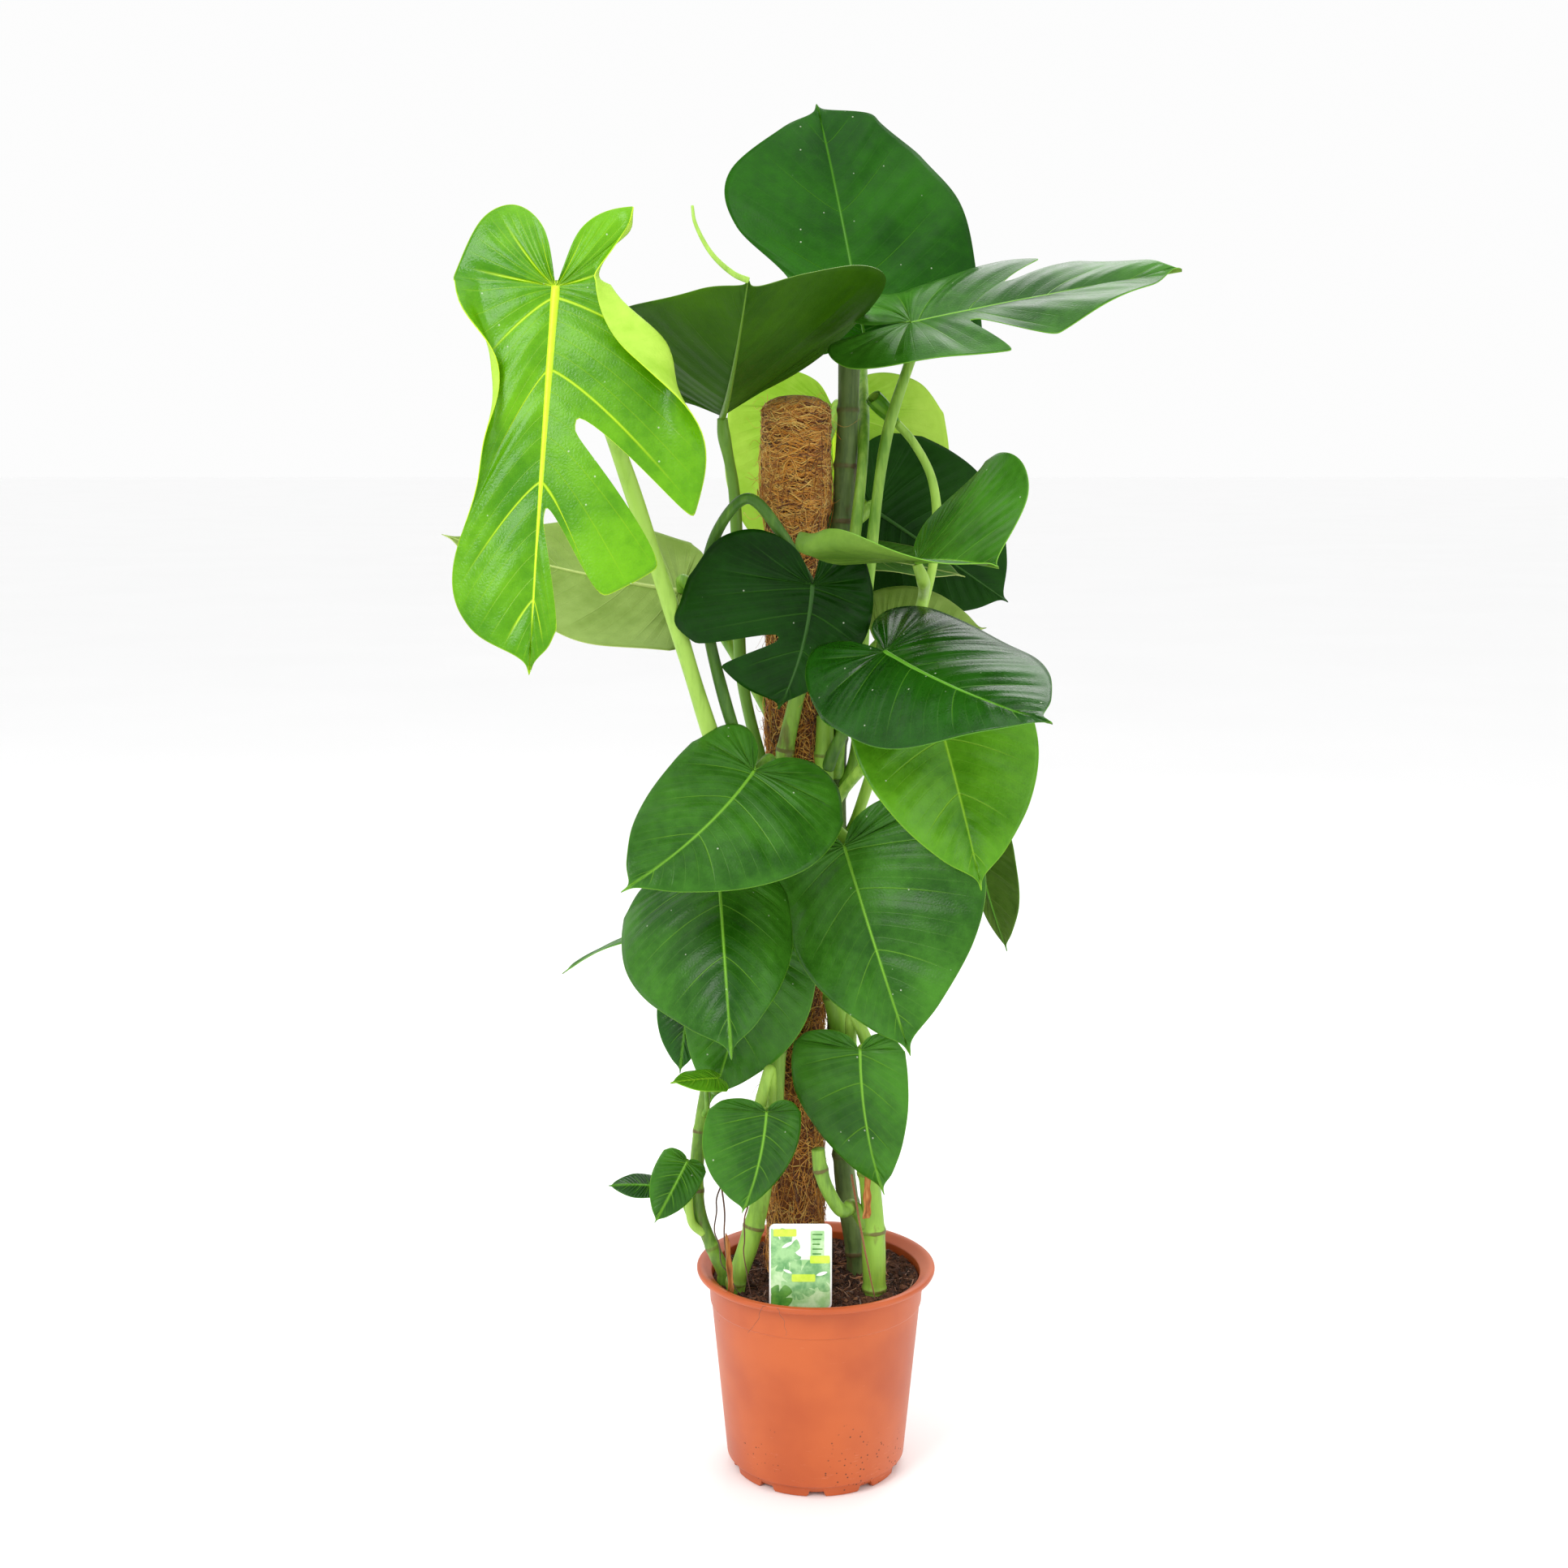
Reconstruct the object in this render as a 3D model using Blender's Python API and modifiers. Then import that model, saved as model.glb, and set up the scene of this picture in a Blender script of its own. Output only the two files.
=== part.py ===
"""A monstera in a plastic nursery pot, climbing a coir pole.

Metres, +Z up. The origin is the middle of the pot's flat underside, and the plant's front faces -Y.
Every height above the pot is counted from the soil's surface, so the plant follows the pot's size.
"""

import bmesh
import bpy
import numpy as np
from math import cos, pi, radians, sin
from mathutils import Matrix

GAP = 0.0003  # between pieces that touch

# Pot
POT_HEIGHT = 0.184
RIM_RADIUS = 0.105
RIM_OVERHANG = 0.0105
LIP_HEIGHT = 0.006
COLLAR_HEIGHT = 0.026
COLLAR_STEP = 0.0012
POT_WALL = 0.0018
BASE_RADIUS = 0.0785
FOOT_INSET = 0.0045
FOOT_HEIGHT = 0.011
FLOOR_THICKNESS = 0.003
NOTCHES = 10
NOTCH_WIDTH = 0.016

# Soil, pole and label
HEADSPACE = 0.012
POLE_X, POLE_Y = -0.018, 0.006
POLE_RADIUS = 0.0245
POLE_HEAD_RADIUS = 0.0285
POLE_HEAD_LENGTH = 0.090
POLE_HEIGHT = 0.765
SLEEVE_THICKNESS = 0.010
SLEEVE_CAP = 0.014
CORE_DEPTH = 0.120
LABEL_WIDTH, LABEL_HEIGHT, LABEL_THICKNESS = 0.053, 0.074, 0.0009
LABEL_CORNER = 0.005
LABEL_RIM_GAP = 0.004
LABEL_X = -0.014
LABEL_LEAN = 4.0

# Plant
LEAF_THICKNESS = 0.0012
STALK_END = 0.8  # a petiole's radius at the blade, as a share of its base
STALK_APPROACH = 0.012  # the last stretch of a petiole, square to the blade
STEM_FOOT = 0.008  # upright stretch of a stem above the soil

STEM_RIM_GAP = 0.003  # least room between a stem and the pot's inside
DRAWN_RADIUS, DRAWN_HEIGHT = 0.0245, 0.765  # the pole that the plant's points below are given for

SOIL_TOP = POT_HEIGHT - HEADSPACE

# Half outline of a heart-shaped blade, from the stalk round the lobe to the tip: across in half
# widths; along in lobe depths behind the stalk (negative) and in lengths ahead of it.
MARGIN = [(0.0, 0.0), (0.15, -0.70), (0.43, -1.0), (0.74, -0.76), (0.94, -0.08), (1.0, 0.20),
          (0.95, 0.44), (0.72, 0.66), (0.35, 0.845), (0.06, 0.94), (0.0, 1.0)]
# Where the vein to each of those points leaves the midrib, in lengths.
VEIN_ROOT = [(0.0,), (0.0,), (0.0,), (0.0,), (0.0,), (0.03,), (0.17,), (0.39,), (0.63,), (0.86,), (1.0,)]

GREENS = {
    "deep": (0.018, 0.085, 0.022),
    "mid": (0.035, 0.15, 0.025),
    "bright": (0.10, 0.33, 0.02),
    "lime": (0.25, 0.52, 0.03),
    "olive": (0.13, 0.25, 0.05),
    "dry": (0.28, 0.14, 0.05),
}


def leaf(at, aim, size, lobe=0.2, droop=15.0, cup=-10.0, fold=0.0, full=-0.05, sweep=0.0,
         slits=(), wide=((1,) * 11, (1,) * 11), green="mid"):
    """A blade's own values.

    at: x, y and height above the soil of the point where the stalk joins; aim: the midrib's compass
    heading, its rise and the roll about it, in degrees; size: length, left and right half widths.
    lobe is in lengths. droop bends the midrib, fold lifts both halves, cup curls their margins, and
    sweep curves the midrib sideways, all in degrees. full moves the widest part towards the tip.
    A slit is its side, its place round the margin, its depth and its half width. wide is the share
    of the half width that the left and the right half have at each point of MARGIN.
    """
    return dict(at=at, aim=aim, size=size, lobe=lobe, droop=droop, cup=cup, fold=fold, full=full,
                sweep=sweep, slits=slits, wide=wide, green=green)


LEAVES = {
    "leaf_top": leaf((0.041, 0.073, 0.814), (112, 66, -14), (0.244, 0.108, 0.110), lobe=0.05,
                     droop=14, cup=-12, fold=4, full=0.28, green="bright",
                     wide=((1, 1, 1, 0.7, 0.45, 0.5, 0.9, 1.15, 1.0, 1.2, 1),
                           (1, 1, 1, 1, 1, 1, 1.02, 1.06, 1.35, 2.6, 1))),
    "leaf_under_top": leaf((-0.079, -0.011, 0.748), (-84, 10, 4), (0.225, 0.156, 0.106), lobe=0.06,
                           droop=-30, cup=6, fold=28, full=0.2, sweep=-4, green="olive"),
    "leaf_lime_split": leaf((-0.198, -0.170, 0.842), (-103, -74, -8), (0.292, 0.128, 0.076),
                            lobe=0.22, droop=4, cup=-10, full=0.25, green="lime",
                            slits=((-1, 0.665, 0.80, 0.022), (-1, 0.775, 0.88, 0.022)),
                            wide=((1, 0.8, 0.8, 0.5, 0.32, 0.77, 0.96, 0.96, 0.45, 0.8, 1),
                                  (1, 1.1, 1.15, 1.1, 1.05, 0.60, 0.62, 1.15, 1.85, 2.4, 1))),
    "leaf_right_split": leaf((0.076, -0.003, 0.823), (-8, 13, 22), (0.222, 0.100, 0.100), lobe=0.30,
                             droop=6, cup=-22, fold=10, full=0.2, green="mid",
                             slits=((-1, 0.64, 0.55, 0.024), (1, 0.58, 0.6, 0.024))),
    "leaf_back_lime": leaf((0.016, 0.128, 0.756), (-82, -82, 173), (0.185, 0.097, 0.116), lobe=0.18,
                           droop=0, cup=12, fold=4, green="lime"),
    "leaf_back_dark": leaf((0.049, 0.099, 0.668), (-8, -33, -104), (0.146, 0.062, 0.086), lobe=0.26,
                           droop=-10, cup=10, fold=6, full=0.1, green="deep"),
    "leaf_wavy": leaf((0.077, -0.089, 0.633), (-68, 5, 22), (0.135, 0.104, 0.104), lobe=0.24,
                      droop=10, cup=6, fold=24, green="bright"),
    "leaf_front_split": leaf((-0.005, -0.081, 0.614), (-118, -82, -34), (0.105, 0.052, 0.104),
                             lobe=0.40, droop=28, cup=-14, full=-0.12, sweep=20, green="deep",
                             slits=((1, 0.69, 0.72, 0.026),),
                             wide=((1,) * 11, (1, 1, 1, 1, 1, 1, 1.05, 0.9, 1, 1, 1))),
    "leaf_glossy": leaf((0.051, -0.137, 0.565), (-62, -13, 27), (0.183, 0.090, 0.075), lobe=0.38,
                        droop=7, cup=-20, fold=-8, full=-0.15, sweep=-20, green="deep"),
    "leaf_bright_right": leaf((0.094, -0.056, 0.517), (-67, -54, 12), (0.165, 0.075, 0.080),
                              droop=13, cup=-8, fold=13, full=-0.14, green="bright",
                              slits=((-1, 0.42, 0.45, 0.035),)),
    "leaf_mid_left": leaf((-0.052, -0.090, 0.464), (-125, -36, -31), (0.153, 0.087, 0.060),
                          lobe=0.22, droop=7, cup=-16, fold=3, full=-0.1, sweep=26, green="deep"),
    "leaf_mid_right": leaf((0.022, -0.065, 0.398), (-62, -56, 52), (0.180, 0.108, 0.075),
                           lobe=0.14, droop=17, cup=-2, fold=-6, full=-0.1, sweep=5, green="deep"),
    "leaf_far_right": leaf((0.140, 0.030, 0.384), (-54, -75, -104), (0.100, 0.014, 0.035), droop=-20,
                           cup=3, green="deep"),
    "leaf_low_left": leaf((-0.082, -0.070, 0.377), (-85, -33, 4), (0.168, 0.068, 0.099), lobe=0.13,
                          droop=33, cup=-34, fold=-14, full=-0.12, green="mid"),
    "leaf_behind_left": leaf((-0.060, -0.038, 0.313), (-142, -86, -36), (0.150, 0.066, 0.050),
                             lobe=0.15, droop=13, cup=7, fold=4, sweep=22, green="deep"),
    "leaf_small_dark": leaf((-0.109, -0.009, 0.266), (-110, -71, -18), (0.077, 0.021, 0.026),
                            lobe=0.15, green="deep"),
    "leaf_side_left": leaf((-0.120, 0.030, 0.310), (-165, -4, 12), (0.110, 0.030, 0.030), droop=30,
                           green="mid"),
    "leaf_small_light": leaf((-0.084, -0.045, 0.193), (-152, 6, -14), (0.044, 0.020, 0.017),
                             lobe=0.1, droop=10, green="bright"),
    "leaf_heart_low": leaf((-0.043, -0.080, 0.175), (-107, -77, -38), (0.088, 0.035, 0.051),
                           lobe=0.12, droop=21, cup=-11, fold=-5, sweep=12, green="mid"),
    "leaf_heart_right": leaf((0.036, -0.070, 0.226), (-78, -86, 37), (0.130, 0.040, 0.068),
                             lobe=0.11, droop=18, cup=-2, fold=-7, full=-0.14, sweep=-10, green="mid"),
    "leaf_heart_left": leaf((-0.111, -0.040, 0.118), (-134, -51, -53), (0.058, 0.020, 0.023),
                            lobe=0.1, green="mid"),
    "leaf_tiny_left": leaf((-0.144, -0.020, 0.089), (-175, 6, -37), (0.036, 0.012, 0.013),
                           lobe=0.1, green="deep"),
    "leaf_pale_left": leaf((-0.117, 0.060, 0.597), (-180, 9, 144), (0.211, 0.070, 0.090), lobe=0.08,
                           droop=13, cup=-8, full=-0.16, green="olive"),
    "leaf_back_olive": leaf((0.057, 0.035, 0.553), (5, 8, -120), (0.090, 0.020, 0.054), lobe=0.1,
                            droop=10, cup=-3, full=-0.1, green="olive"),
    "leaf_silver_fold": leaf((0.035, 0.062, 0.626), (-12, -4, 20), (0.095, 0.035, 0.030),
                             droop=10, cup=10, green="olive"),
    "dry_sheath": leaf((0.042, -0.0530, 0.075), (90, 84, 8), (0.040, 0.007, 0.007), lobe=0.1, droop=6,
                       cup=-35, green="dry"),
}

# Stems: base radius, top radius, then route points as height above the soil, compass angle round
# the pole in degrees (-90 is the front) and stand-off from the pole's side.
STEMS = {
    "stem_front": (0.0085, 0.0065, [(0, -139, 0.036), (0.045, -132, 0.026), (0.10, -125, 0.013),
                                    (0.20, -118, 0.001), (0.34, -115, 0), (0.45, -112, 0),
                                    (0.53, -84, 0), (0.58, -68, 0)]),
    "stem_right": (0.0090, 0.0090, [(0, 5, 0.020), (0.10, 0, 0.008), (0.25, 0, 0.001), (0.45, 2, 0),
                                    (0.65, 4, 0), (0.72, 5, 0.004), (0.79, 6, 0.006)]),
    "stem_low_right": (0.0100, 0.0075, [(0, -32, 0.045), (0.10, -32, 0.040), (0.20, -38, 0.022),
                                        (0.30, -44, 0.003), (0.40, -45, 0), (0.50, -42, 0)]),
    "stem_left": (0.0062, 0.0050, [(0, -158, 0.038), (0.03, -160, 0.044), (0.07, -166, 0.056), (0.14, -172, 0.052),
                                   (0.24, -178, 0.030), (0.36, 170, 0.004), (0.44, 168, 0)]),
    "stem_back": (0.0080, 0.0070, [(0, 95, 0.020), (0.12, 95, 0.006), (0.30, 92, 0.001), (0.50, 90, 0),
                                   (0.70, 88, 0)]),
}

# Petioles: stem, height on it, side of it in degrees, base radius, then the points passed on the way.
PETIOLES = {
    "leaf_top": ("stem_right", 0.45, -84, 0.0050, [(0.026, -0.013, 0.600), (0.038, 0.005, 0.720)]),
    "leaf_under_top": ("stem_front", 0.43, 146, 0.0052, [(-0.063, -0.011, 0.530),
                                                         (-0.066, -0.006, 0.610),
                                                         (-0.070, -0.002, 0.690)]),
    "leaf_lime_split": ("stem_front", 0.37, 200, 0.0070, [(-0.078, -0.050, 0.459),
                                                          (-0.120, -0.075, 0.598),
                                                          (-0.162, -0.102, 0.732)]),
    "leaf_right_split": ("stem_right", 0.44, -26, 0.0050, [(0.041, -0.012, 0.600),
                                                           (0.057, -0.005, 0.731)]),
    "leaf_back_lime": ("stem_back", 0.66, 80, 0.0050, [(0.006, 0.090, 0.72)]),
    "leaf_back_dark": ("stem_back", 0.59, 20, 0.0050, [(0.019, 0.062, 0.640)]),
    "leaf_wavy": ("stem_right", 0.39, 0, 0.0048, [(0.071, -0.021, 0.541), (0.085, -0.056, 0.602)]),
    "leaf_front_split": ("stem_front", 0.41, 197, 0.0050, [(-0.077, -0.060, 0.520),
                                                           (-0.092, -0.057, 0.600),
                                                           (-0.082, -0.059, 0.655),
                                                           (-0.057, -0.064, 0.682),
                                                           (-0.028, -0.067, 0.651)]),
    "leaf_glossy": ("stem_low_right", 0.46, -50, 0.0050, [(0.048, -0.041, 0.540),
                                                          (0.054, -0.066, 0.574)]),
    "leaf_bright_right": ("stem_low_right", 0.42, -20, 0.0050, [(0.062, -0.068, 0.490)]),
    "leaf_mid_left": ("stem_front", 0.41, -100, 0.0048, [(-0.040, -0.062, 0.470)]),
    "leaf_mid_right": ("stem_low_right", 0.34, -90, 0.0052, [(0.016, -0.039, 0.405)]),
    "leaf_far_right": ("stem_right", 0.30, 20, 0.0040, [(0.080, 0.018, 0.37), (0.120, 0.024, 0.395)]),
    "leaf_low_left": ("stem_front", 0.30, -150, 0.0050, [(-0.060, -0.039, 0.375)]),
    "leaf_behind_left": ("stem_left", 0.24, -79, 0.0045, [(-0.070, -0.025, 0.300)]),
    "leaf_heart_low": ("stem_front", 0.14, -100, 0.0050, [(-0.040, -0.060, 0.205)]),
    "leaf_heart_right": ("stem_low_right", 0.20, -70, 0.0050, [(0.030, -0.048, 0.250)]),
    "leaf_heart_left": ("stem_left", 0.05, -140, 0.0035, [(-0.112, -0.026, 0.110)]),
    "leaf_pale_left": ("stem_back", 0.46, 150, 0.0052, [(-0.080, 0.055, 0.56)]),
    "leaf_back_olive": ("stem_back", 0.44, 30, 0.0042, [(0.030, 0.020, 0.532)]),
    "leaf_silver_fold": ("stem_back", 0.51, 22, 0.0040, [(0.014, 0.078, 0.602)]),
}

# Shoots without an open blade: stem, height on it, side of it, base and end radii, points on the way.
SHOOTS = {
    "stem_stub": ("stem_low_right", 0.064, -170, 0.0062, 0.0056, [(0.022, -0.046, 0.076), (0.009, -0.048, 0.096),
                                                              (0.003, -0.048, 0.115), (0.001, -0.048, 0.132)]),
    "petiole_rolled": ("stem_right", 0.42, 55, 0.0042, 0.0034, [(0.084, 0.016, 0.570), (0.100, 0.012, 0.645),
                                                              (0.096, 0.012, 0.695), (0.080, 0.012, 0.726),
                                                              (0.066, 0.012, 0.742)]),
}
# The new leaf, still rolled up: distance on from the end of its petiole, and radius.
ROLLED_LEAF = [(0.0006, 0.0034), (0.008, 0.0068), (0.018, 0.0080), (0.030, 0.0072)]


# ---------------------------------------------------------------- materials and objects

def material(name, colour, roughness=0.5):
    made = bpy.data.materials.get(name) or bpy.data.materials.new(name)
    made.use_nodes = True
    shader = made.node_tree.nodes["Principled BSDF"]
    shader.inputs["Base Color"].default_value = (*colour, 1.0)
    shader.inputs["Roughness"].default_value = roughness
    return made


def collection(name, helper=False):
    made = bpy.data.collections.new(name)
    made.hide_render = helper
    bpy.context.scene.collection.children.link(made)
    return made


def add(name, data, finish, where):
    obj = bpy.data.objects.new(name, data)
    data.materials.append(finish)
    where.objects.link(obj)
    return obj


def cutter(name, build, where):
    """A hidden mesh object that build(bm) fills."""
    mesh = bpy.data.meshes.new(name)
    bm = bmesh.new()
    build(bm)
    bmesh.ops.recalc_face_normals(bm, faces=bm.faces)
    bm.to_mesh(mesh)
    bm.free()
    obj = bpy.data.objects.new(name, mesh)
    obj.hide_render = True
    obj.display_type = "WIRE"
    where.objects.link(obj)
    return obj


def cut(obj, tool):
    modifier = obj.modifiers.new(f"cut_{tool.name}", "BOOLEAN")
    modifier.object = tool


def turned(name, profile, finish, where, centre=(0, 0), steps=40):
    """A body of revolution: profile runs from the top down the outside, as radius and height."""
    mesh = bpy.data.meshes.new(name)
    mesh.from_pydata([(r, 0, z) for r, z in profile], [(i, i + 1) for i in range(len(profile) - 1)], [])
    obj = add(name, mesh, finish, where)
    obj.location = (*centre, 0)
    screw = obj.modifiers.new("turn", "SCREW")
    screw.steps = screw.render_steps = steps
    screw.use_merge_vertices = True
    screw.merge_threshold = 0.00001
    return obj


def smooth(points, count):
    """count points on a centripetal spline through points, which may carry a radius as a fourth value."""
    p = np.asarray(points, float)
    t = np.concatenate([[0], np.cumsum(np.linalg.norm(np.diff(p[:, :3], axis=0), axis=1) ** 0.5)])
    m = np.gradient(p, t, axis=0)
    s = np.linspace(0, t[-1], count)
    k = np.clip(np.searchsorted(t, s, side="right") - 1, 0, len(t) - 2)
    h = (t[k + 1] - t[k])[:, None]
    f = (s - t[k])[:, None] / h
    return ((1 + 2 * f) * (1 - f) ** 2 * p[k] + f * (1 - f) ** 2 * h * m[k]
            + f * f * (3 - 2 * f) * p[k + 1] + f * f * (f - 1) * h * m[k + 1])


def tube(name, route, finish, where, sides=6):
    """A round stalk along route, whose points are x, y, z and radius."""
    curve = bpy.data.curves.new(name, "CURVE")
    curve.dimensions = "3D"
    curve.bevel_depth = 1.0
    curve.bevel_resolution = (sides - 4) // 2
    curve.use_fill_caps = True
    spline = curve.splines.new("POLY")
    spline.points.add(len(route) - 1)
    for point, (x, y, z, radius) in zip(spline.points, route):
        point.co = (x, y, z, 1)
        point.radius = radius
    return add(name, curve, finish, where)


# ---------------------------------------------------------------- sizes that pieces share

body_radius = RIM_RADIUS - RIM_OVERHANG
collar_low = POT_HEIGHT - LIP_HEIGHT - COLLAR_HEIGHT


def wall_radius(z):
    """The pot's outside below the collar, tapering evenly to the foot."""
    share = (z - FOOT_HEIGHT) / (collar_low - FOOT_HEIGHT)
    return BASE_RADIUS + (body_radius - 0.0015 - COLLAR_STEP - BASE_RADIUS) * share


def inside_radius(z):
    return min(wall_radius(z), body_radius - COLLAR_STEP) - POT_WALL


def placed(point):
    """A point of the plant, given as x, y and height above the soil, moved out and up with the pole."""
    x, y = point[0] - POLE_X, point[1] - POLE_Y
    out = 1 + (POLE_RADIUS - DRAWN_RADIUS) / (x * x + y * y) ** 0.5
    return np.array([POLE_X + x * out, POLE_Y + y * out, SOIL_TOP + point[2] * POLE_HEIGHT / DRAWN_HEIGHT])


# ---------------------------------------------------------------- leaf blades

def through(points, t):
    """Catmull-Rom curve through points, for t from 0 to 1."""
    p = np.asarray(points, float)
    n = len(p) - 1
    k = np.minimum((t * n).astype(int), n - 1)
    f = (t * n - k)[:, None]
    padded = np.vstack([2 * p[0] - p[1], p, 2 * p[-1] - p[-2]])
    a, b, c, d = (padded[k + i] for i in range(4))
    return 0.5 * (2 * b + (c - a) * f + (2 * a - 5 * b + 4 * c - d) * f**2 + (3 * b - a - 3 * c + d) * f**3)


def axes_of(aim):
    """Columns: across to the right, along the midrib, and out of the upper side."""
    heading, rise, roll = np.radians(aim)
    along = np.array([cos(rise) * cos(heading), cos(rise) * sin(heading), sin(rise)])
    up = np.array([-sin(rise) * cos(heading), -sin(rise) * sin(heading), cos(rise)])
    across = np.cross(along, up)
    return np.stack([cos(roll) * across - sin(roll) * up, along, cos(roll) * up + sin(roll) * across], 1)


def blade_half(values, side, us, vs):
    """Grid of one half: us run round the margin from stalk to tip, vs from midrib to margin."""
    length, left, right = values["size"]
    width = left if side < 0 else right
    margin = through(MARGIN, us)
    share = through([(s,) for s in values["wide"][side > 0]], us)
    root = np.clip(through(VEIN_ROOT, us)[:, 0], 0, 1) * length
    ahead = margin[:, 1] + values["full"] * margin[:, 1] * (1 - margin[:, 1])
    reach = np.where(margin[:, 1] < 0, margin[:, 1] * values["lobe"], ahead) * length
    whole = np.ones_like(us)
    for slit_side, place, depth, half_width in values["slits"]:
        if slit_side == side:
            whole = whole - depth * np.exp(-((us - place) / half_width) ** 4)
    v = whole[:, None] * vs[None, :]
    flat_x = margin[:, :1] * share * width * v**0.95
    y = root[:, None] + (reach - root)[:, None] * v**1.2
    angle = np.radians(values["fold"] + values["cup"] * flat_x / width)
    middle = (angle[:, 1:] + angle[:, :-1]) / 2
    step = np.diff(flat_x, axis=1)
    start = np.zeros_like(flat_x[:, :1])
    x = np.concatenate([start, np.cumsum(step * np.cos(middle), axis=1)], axis=1)
    z = np.concatenate([start, np.cumsum(step * np.sin(middle), axis=1)], axis=1)
    x = side * x + radians(values["sweep"]) * y * y / length / 2
    bend = radians(values["droop"]) * y / length
    along = y * np.cos(bend / 2) + z * np.sin(bend)
    out = -y * np.sin(bend / 2) + z * np.cos(bend)
    return np.stack([x, along, out], axis=-1) @ axes_of(values["aim"]).T + placed(values["at"])


def stations(values):
    """Places round the margin, the same for both halves: evenly spaced, with more at each slit."""
    places = list(np.linspace(0, 1, 12))
    for _, place, _, half_width in values["slits"]:
        near = [p for p in places if abs(p - place) < 1.6 * half_width]
        places = [p for p in places if p not in near]
        places.extend(place + half_width * np.array([-1.5, -0.9, 0, 0.9, 1.5]))
    return np.array(sorted(places))


def blade(name, values, where):
    mesh = bpy.data.meshes.new(name)
    bm = bmesh.new()
    vs = np.linspace(0, 1, 3)
    for side in (-1, 1):
        grid = blade_half(values, side, stations(values), vs)
        rows = [[bm.verts.new(point) for point in row] for row in grid]
        for row, after in zip(rows, rows[1:]):
            for k in range(len(vs) - 1):
                corners = (row[k], row[k + 1], after[k + 1], after[k])
                bm.faces.new(corners if side > 0 else corners[::-1])
    bmesh.ops.remove_doubles(bm, verts=bm.verts, dist=0.00005)
    bmesh.ops.dissolve_degenerate(bm, edges=bm.edges, dist=0.00002)
    bm.to_mesh(mesh)
    bm.free()
    mesh.shade_smooth()
    finish = material(f"leaf_{values['green']}", GREENS[values["green"]], 0.4)
    obj = add(name, mesh, finish, where)
    solidify = obj.modifiers.new("thickness", "SOLIDIFY")
    solidify.thickness = LEAF_THICKNESS
    solidify.offset = 0
    return obj


# ---------------------------------------------------------------- stems and stalks

def stem_route(base_radius, top_radius, points):
    """The stem's own points in the pot's frame, each held clear of the pole's side and of the rim."""
    route = []
    top = points[-1][0]
    for share, angle, stand_off in points:
        height = share * POLE_HEIGHT / DRAWN_HEIGHT
        radius = base_radius + (top_radius - base_radius) * share / top
        pole = POLE_RADIUS if height < POLE_HEIGHT - POLE_HEAD_LENGTH - 0.03 else POLE_HEAD_RADIUS
        away = pole + radius + 3 * GAP + stand_off
        spot = np.array([POLE_X + away * cos(radians(angle)), POLE_Y + away * sin(radians(angle))])
        if height < HEADSPACE + STEM_FOOT:
            room = inside_radius(SOIL_TOP) - radius - STEM_RIM_GAP
            spot *= min(1, room / np.hypot(*spot))
        route.append((*spot, SOIL_TOP + height, radius))
    ground = np.add(route[0], (0, 0, 3 * GAP, 0))
    return [ground, ground + (0, 0, STEM_FOOT / 2, 0), ground + (0, 0, STEM_FOOT, 0), *route[1:]]


def leave_stem(stem, height, side, radius):
    """The first two points of a shoot that leaves a stem's surface and runs up along it."""
    dense = smooth(STEM_ROUTES[stem], 200)
    k = int(np.argmin(abs(dense[:, 2] - SOIL_TOP - height * POLE_HEIGHT / DRAWN_HEIGHT)))
    away = dense[k, 3] + radius + 3 * GAP
    out = np.array([cos(radians(side)), sin(radians(side)), 0])
    along = dense[k + 4, :3] - dense[k, :3]
    along /= np.linalg.norm(along)
    base = dense[k, :3] + away * (out - along * (out @ along))
    return [base, base + 2.5 * radius * along]


def tapered(route, first, last):
    share = np.linspace(0, 1, len(route)) ** 2
    return [(*point, first + (last - first) * s) for point, s in zip(route, share)]


def petiole_route(stem, height, side, radius, points, values):
    """From the stem, by way of points, to just under the blade."""
    normal = axes_of(values["aim"])[:, 2]
    end_radius = STALK_END * radius
    join = placed(values["at"])
    end = join - normal * (LEAF_THICKNESS / 2 + GAP + end_radius)
    middle = [placed(point) for point in points]
    route = [*leave_stem(stem, height, side, radius), *middle, end - STALK_APPROACH * normal, end]
    return tapered(route, radius, end_radius)


def shoot_route(stem, height, side, radius, end_radius, points):
    route = leave_stem(stem, height, side, radius) + [placed(point) for point in points]
    return tapered(route, radius, end_radius)


# ---------------------------------------------------------------- build

for old in list(bpy.data.objects):
    bpy.data.objects.remove(old)

plant = collection("potted_monstera")
helpers = collection("cutters", helper=True)

terracotta = material("pot_plastic", (0.55, 0.14, 0.05), 0.45)
mix = material("soil", (0.045, 0.022, 0.014), 0.95)
coir = material("coir", (0.30, 0.11, 0.03), 0.95)
core_plastic = material("core_plastic", (0.05, 0.05, 0.05), 0.6)
card = material("label_card", (0.75, 0.82, 0.6), 0.4)
stem_green = material("stem_green", (0.10, 0.22, 0.04), 0.45)
stalk_green = material("stalk_green", (0.16, 0.36, 0.05), 0.45)
dry_brown = material("dry_sheath", (0.28, 0.14, 0.05), 0.8)

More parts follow.
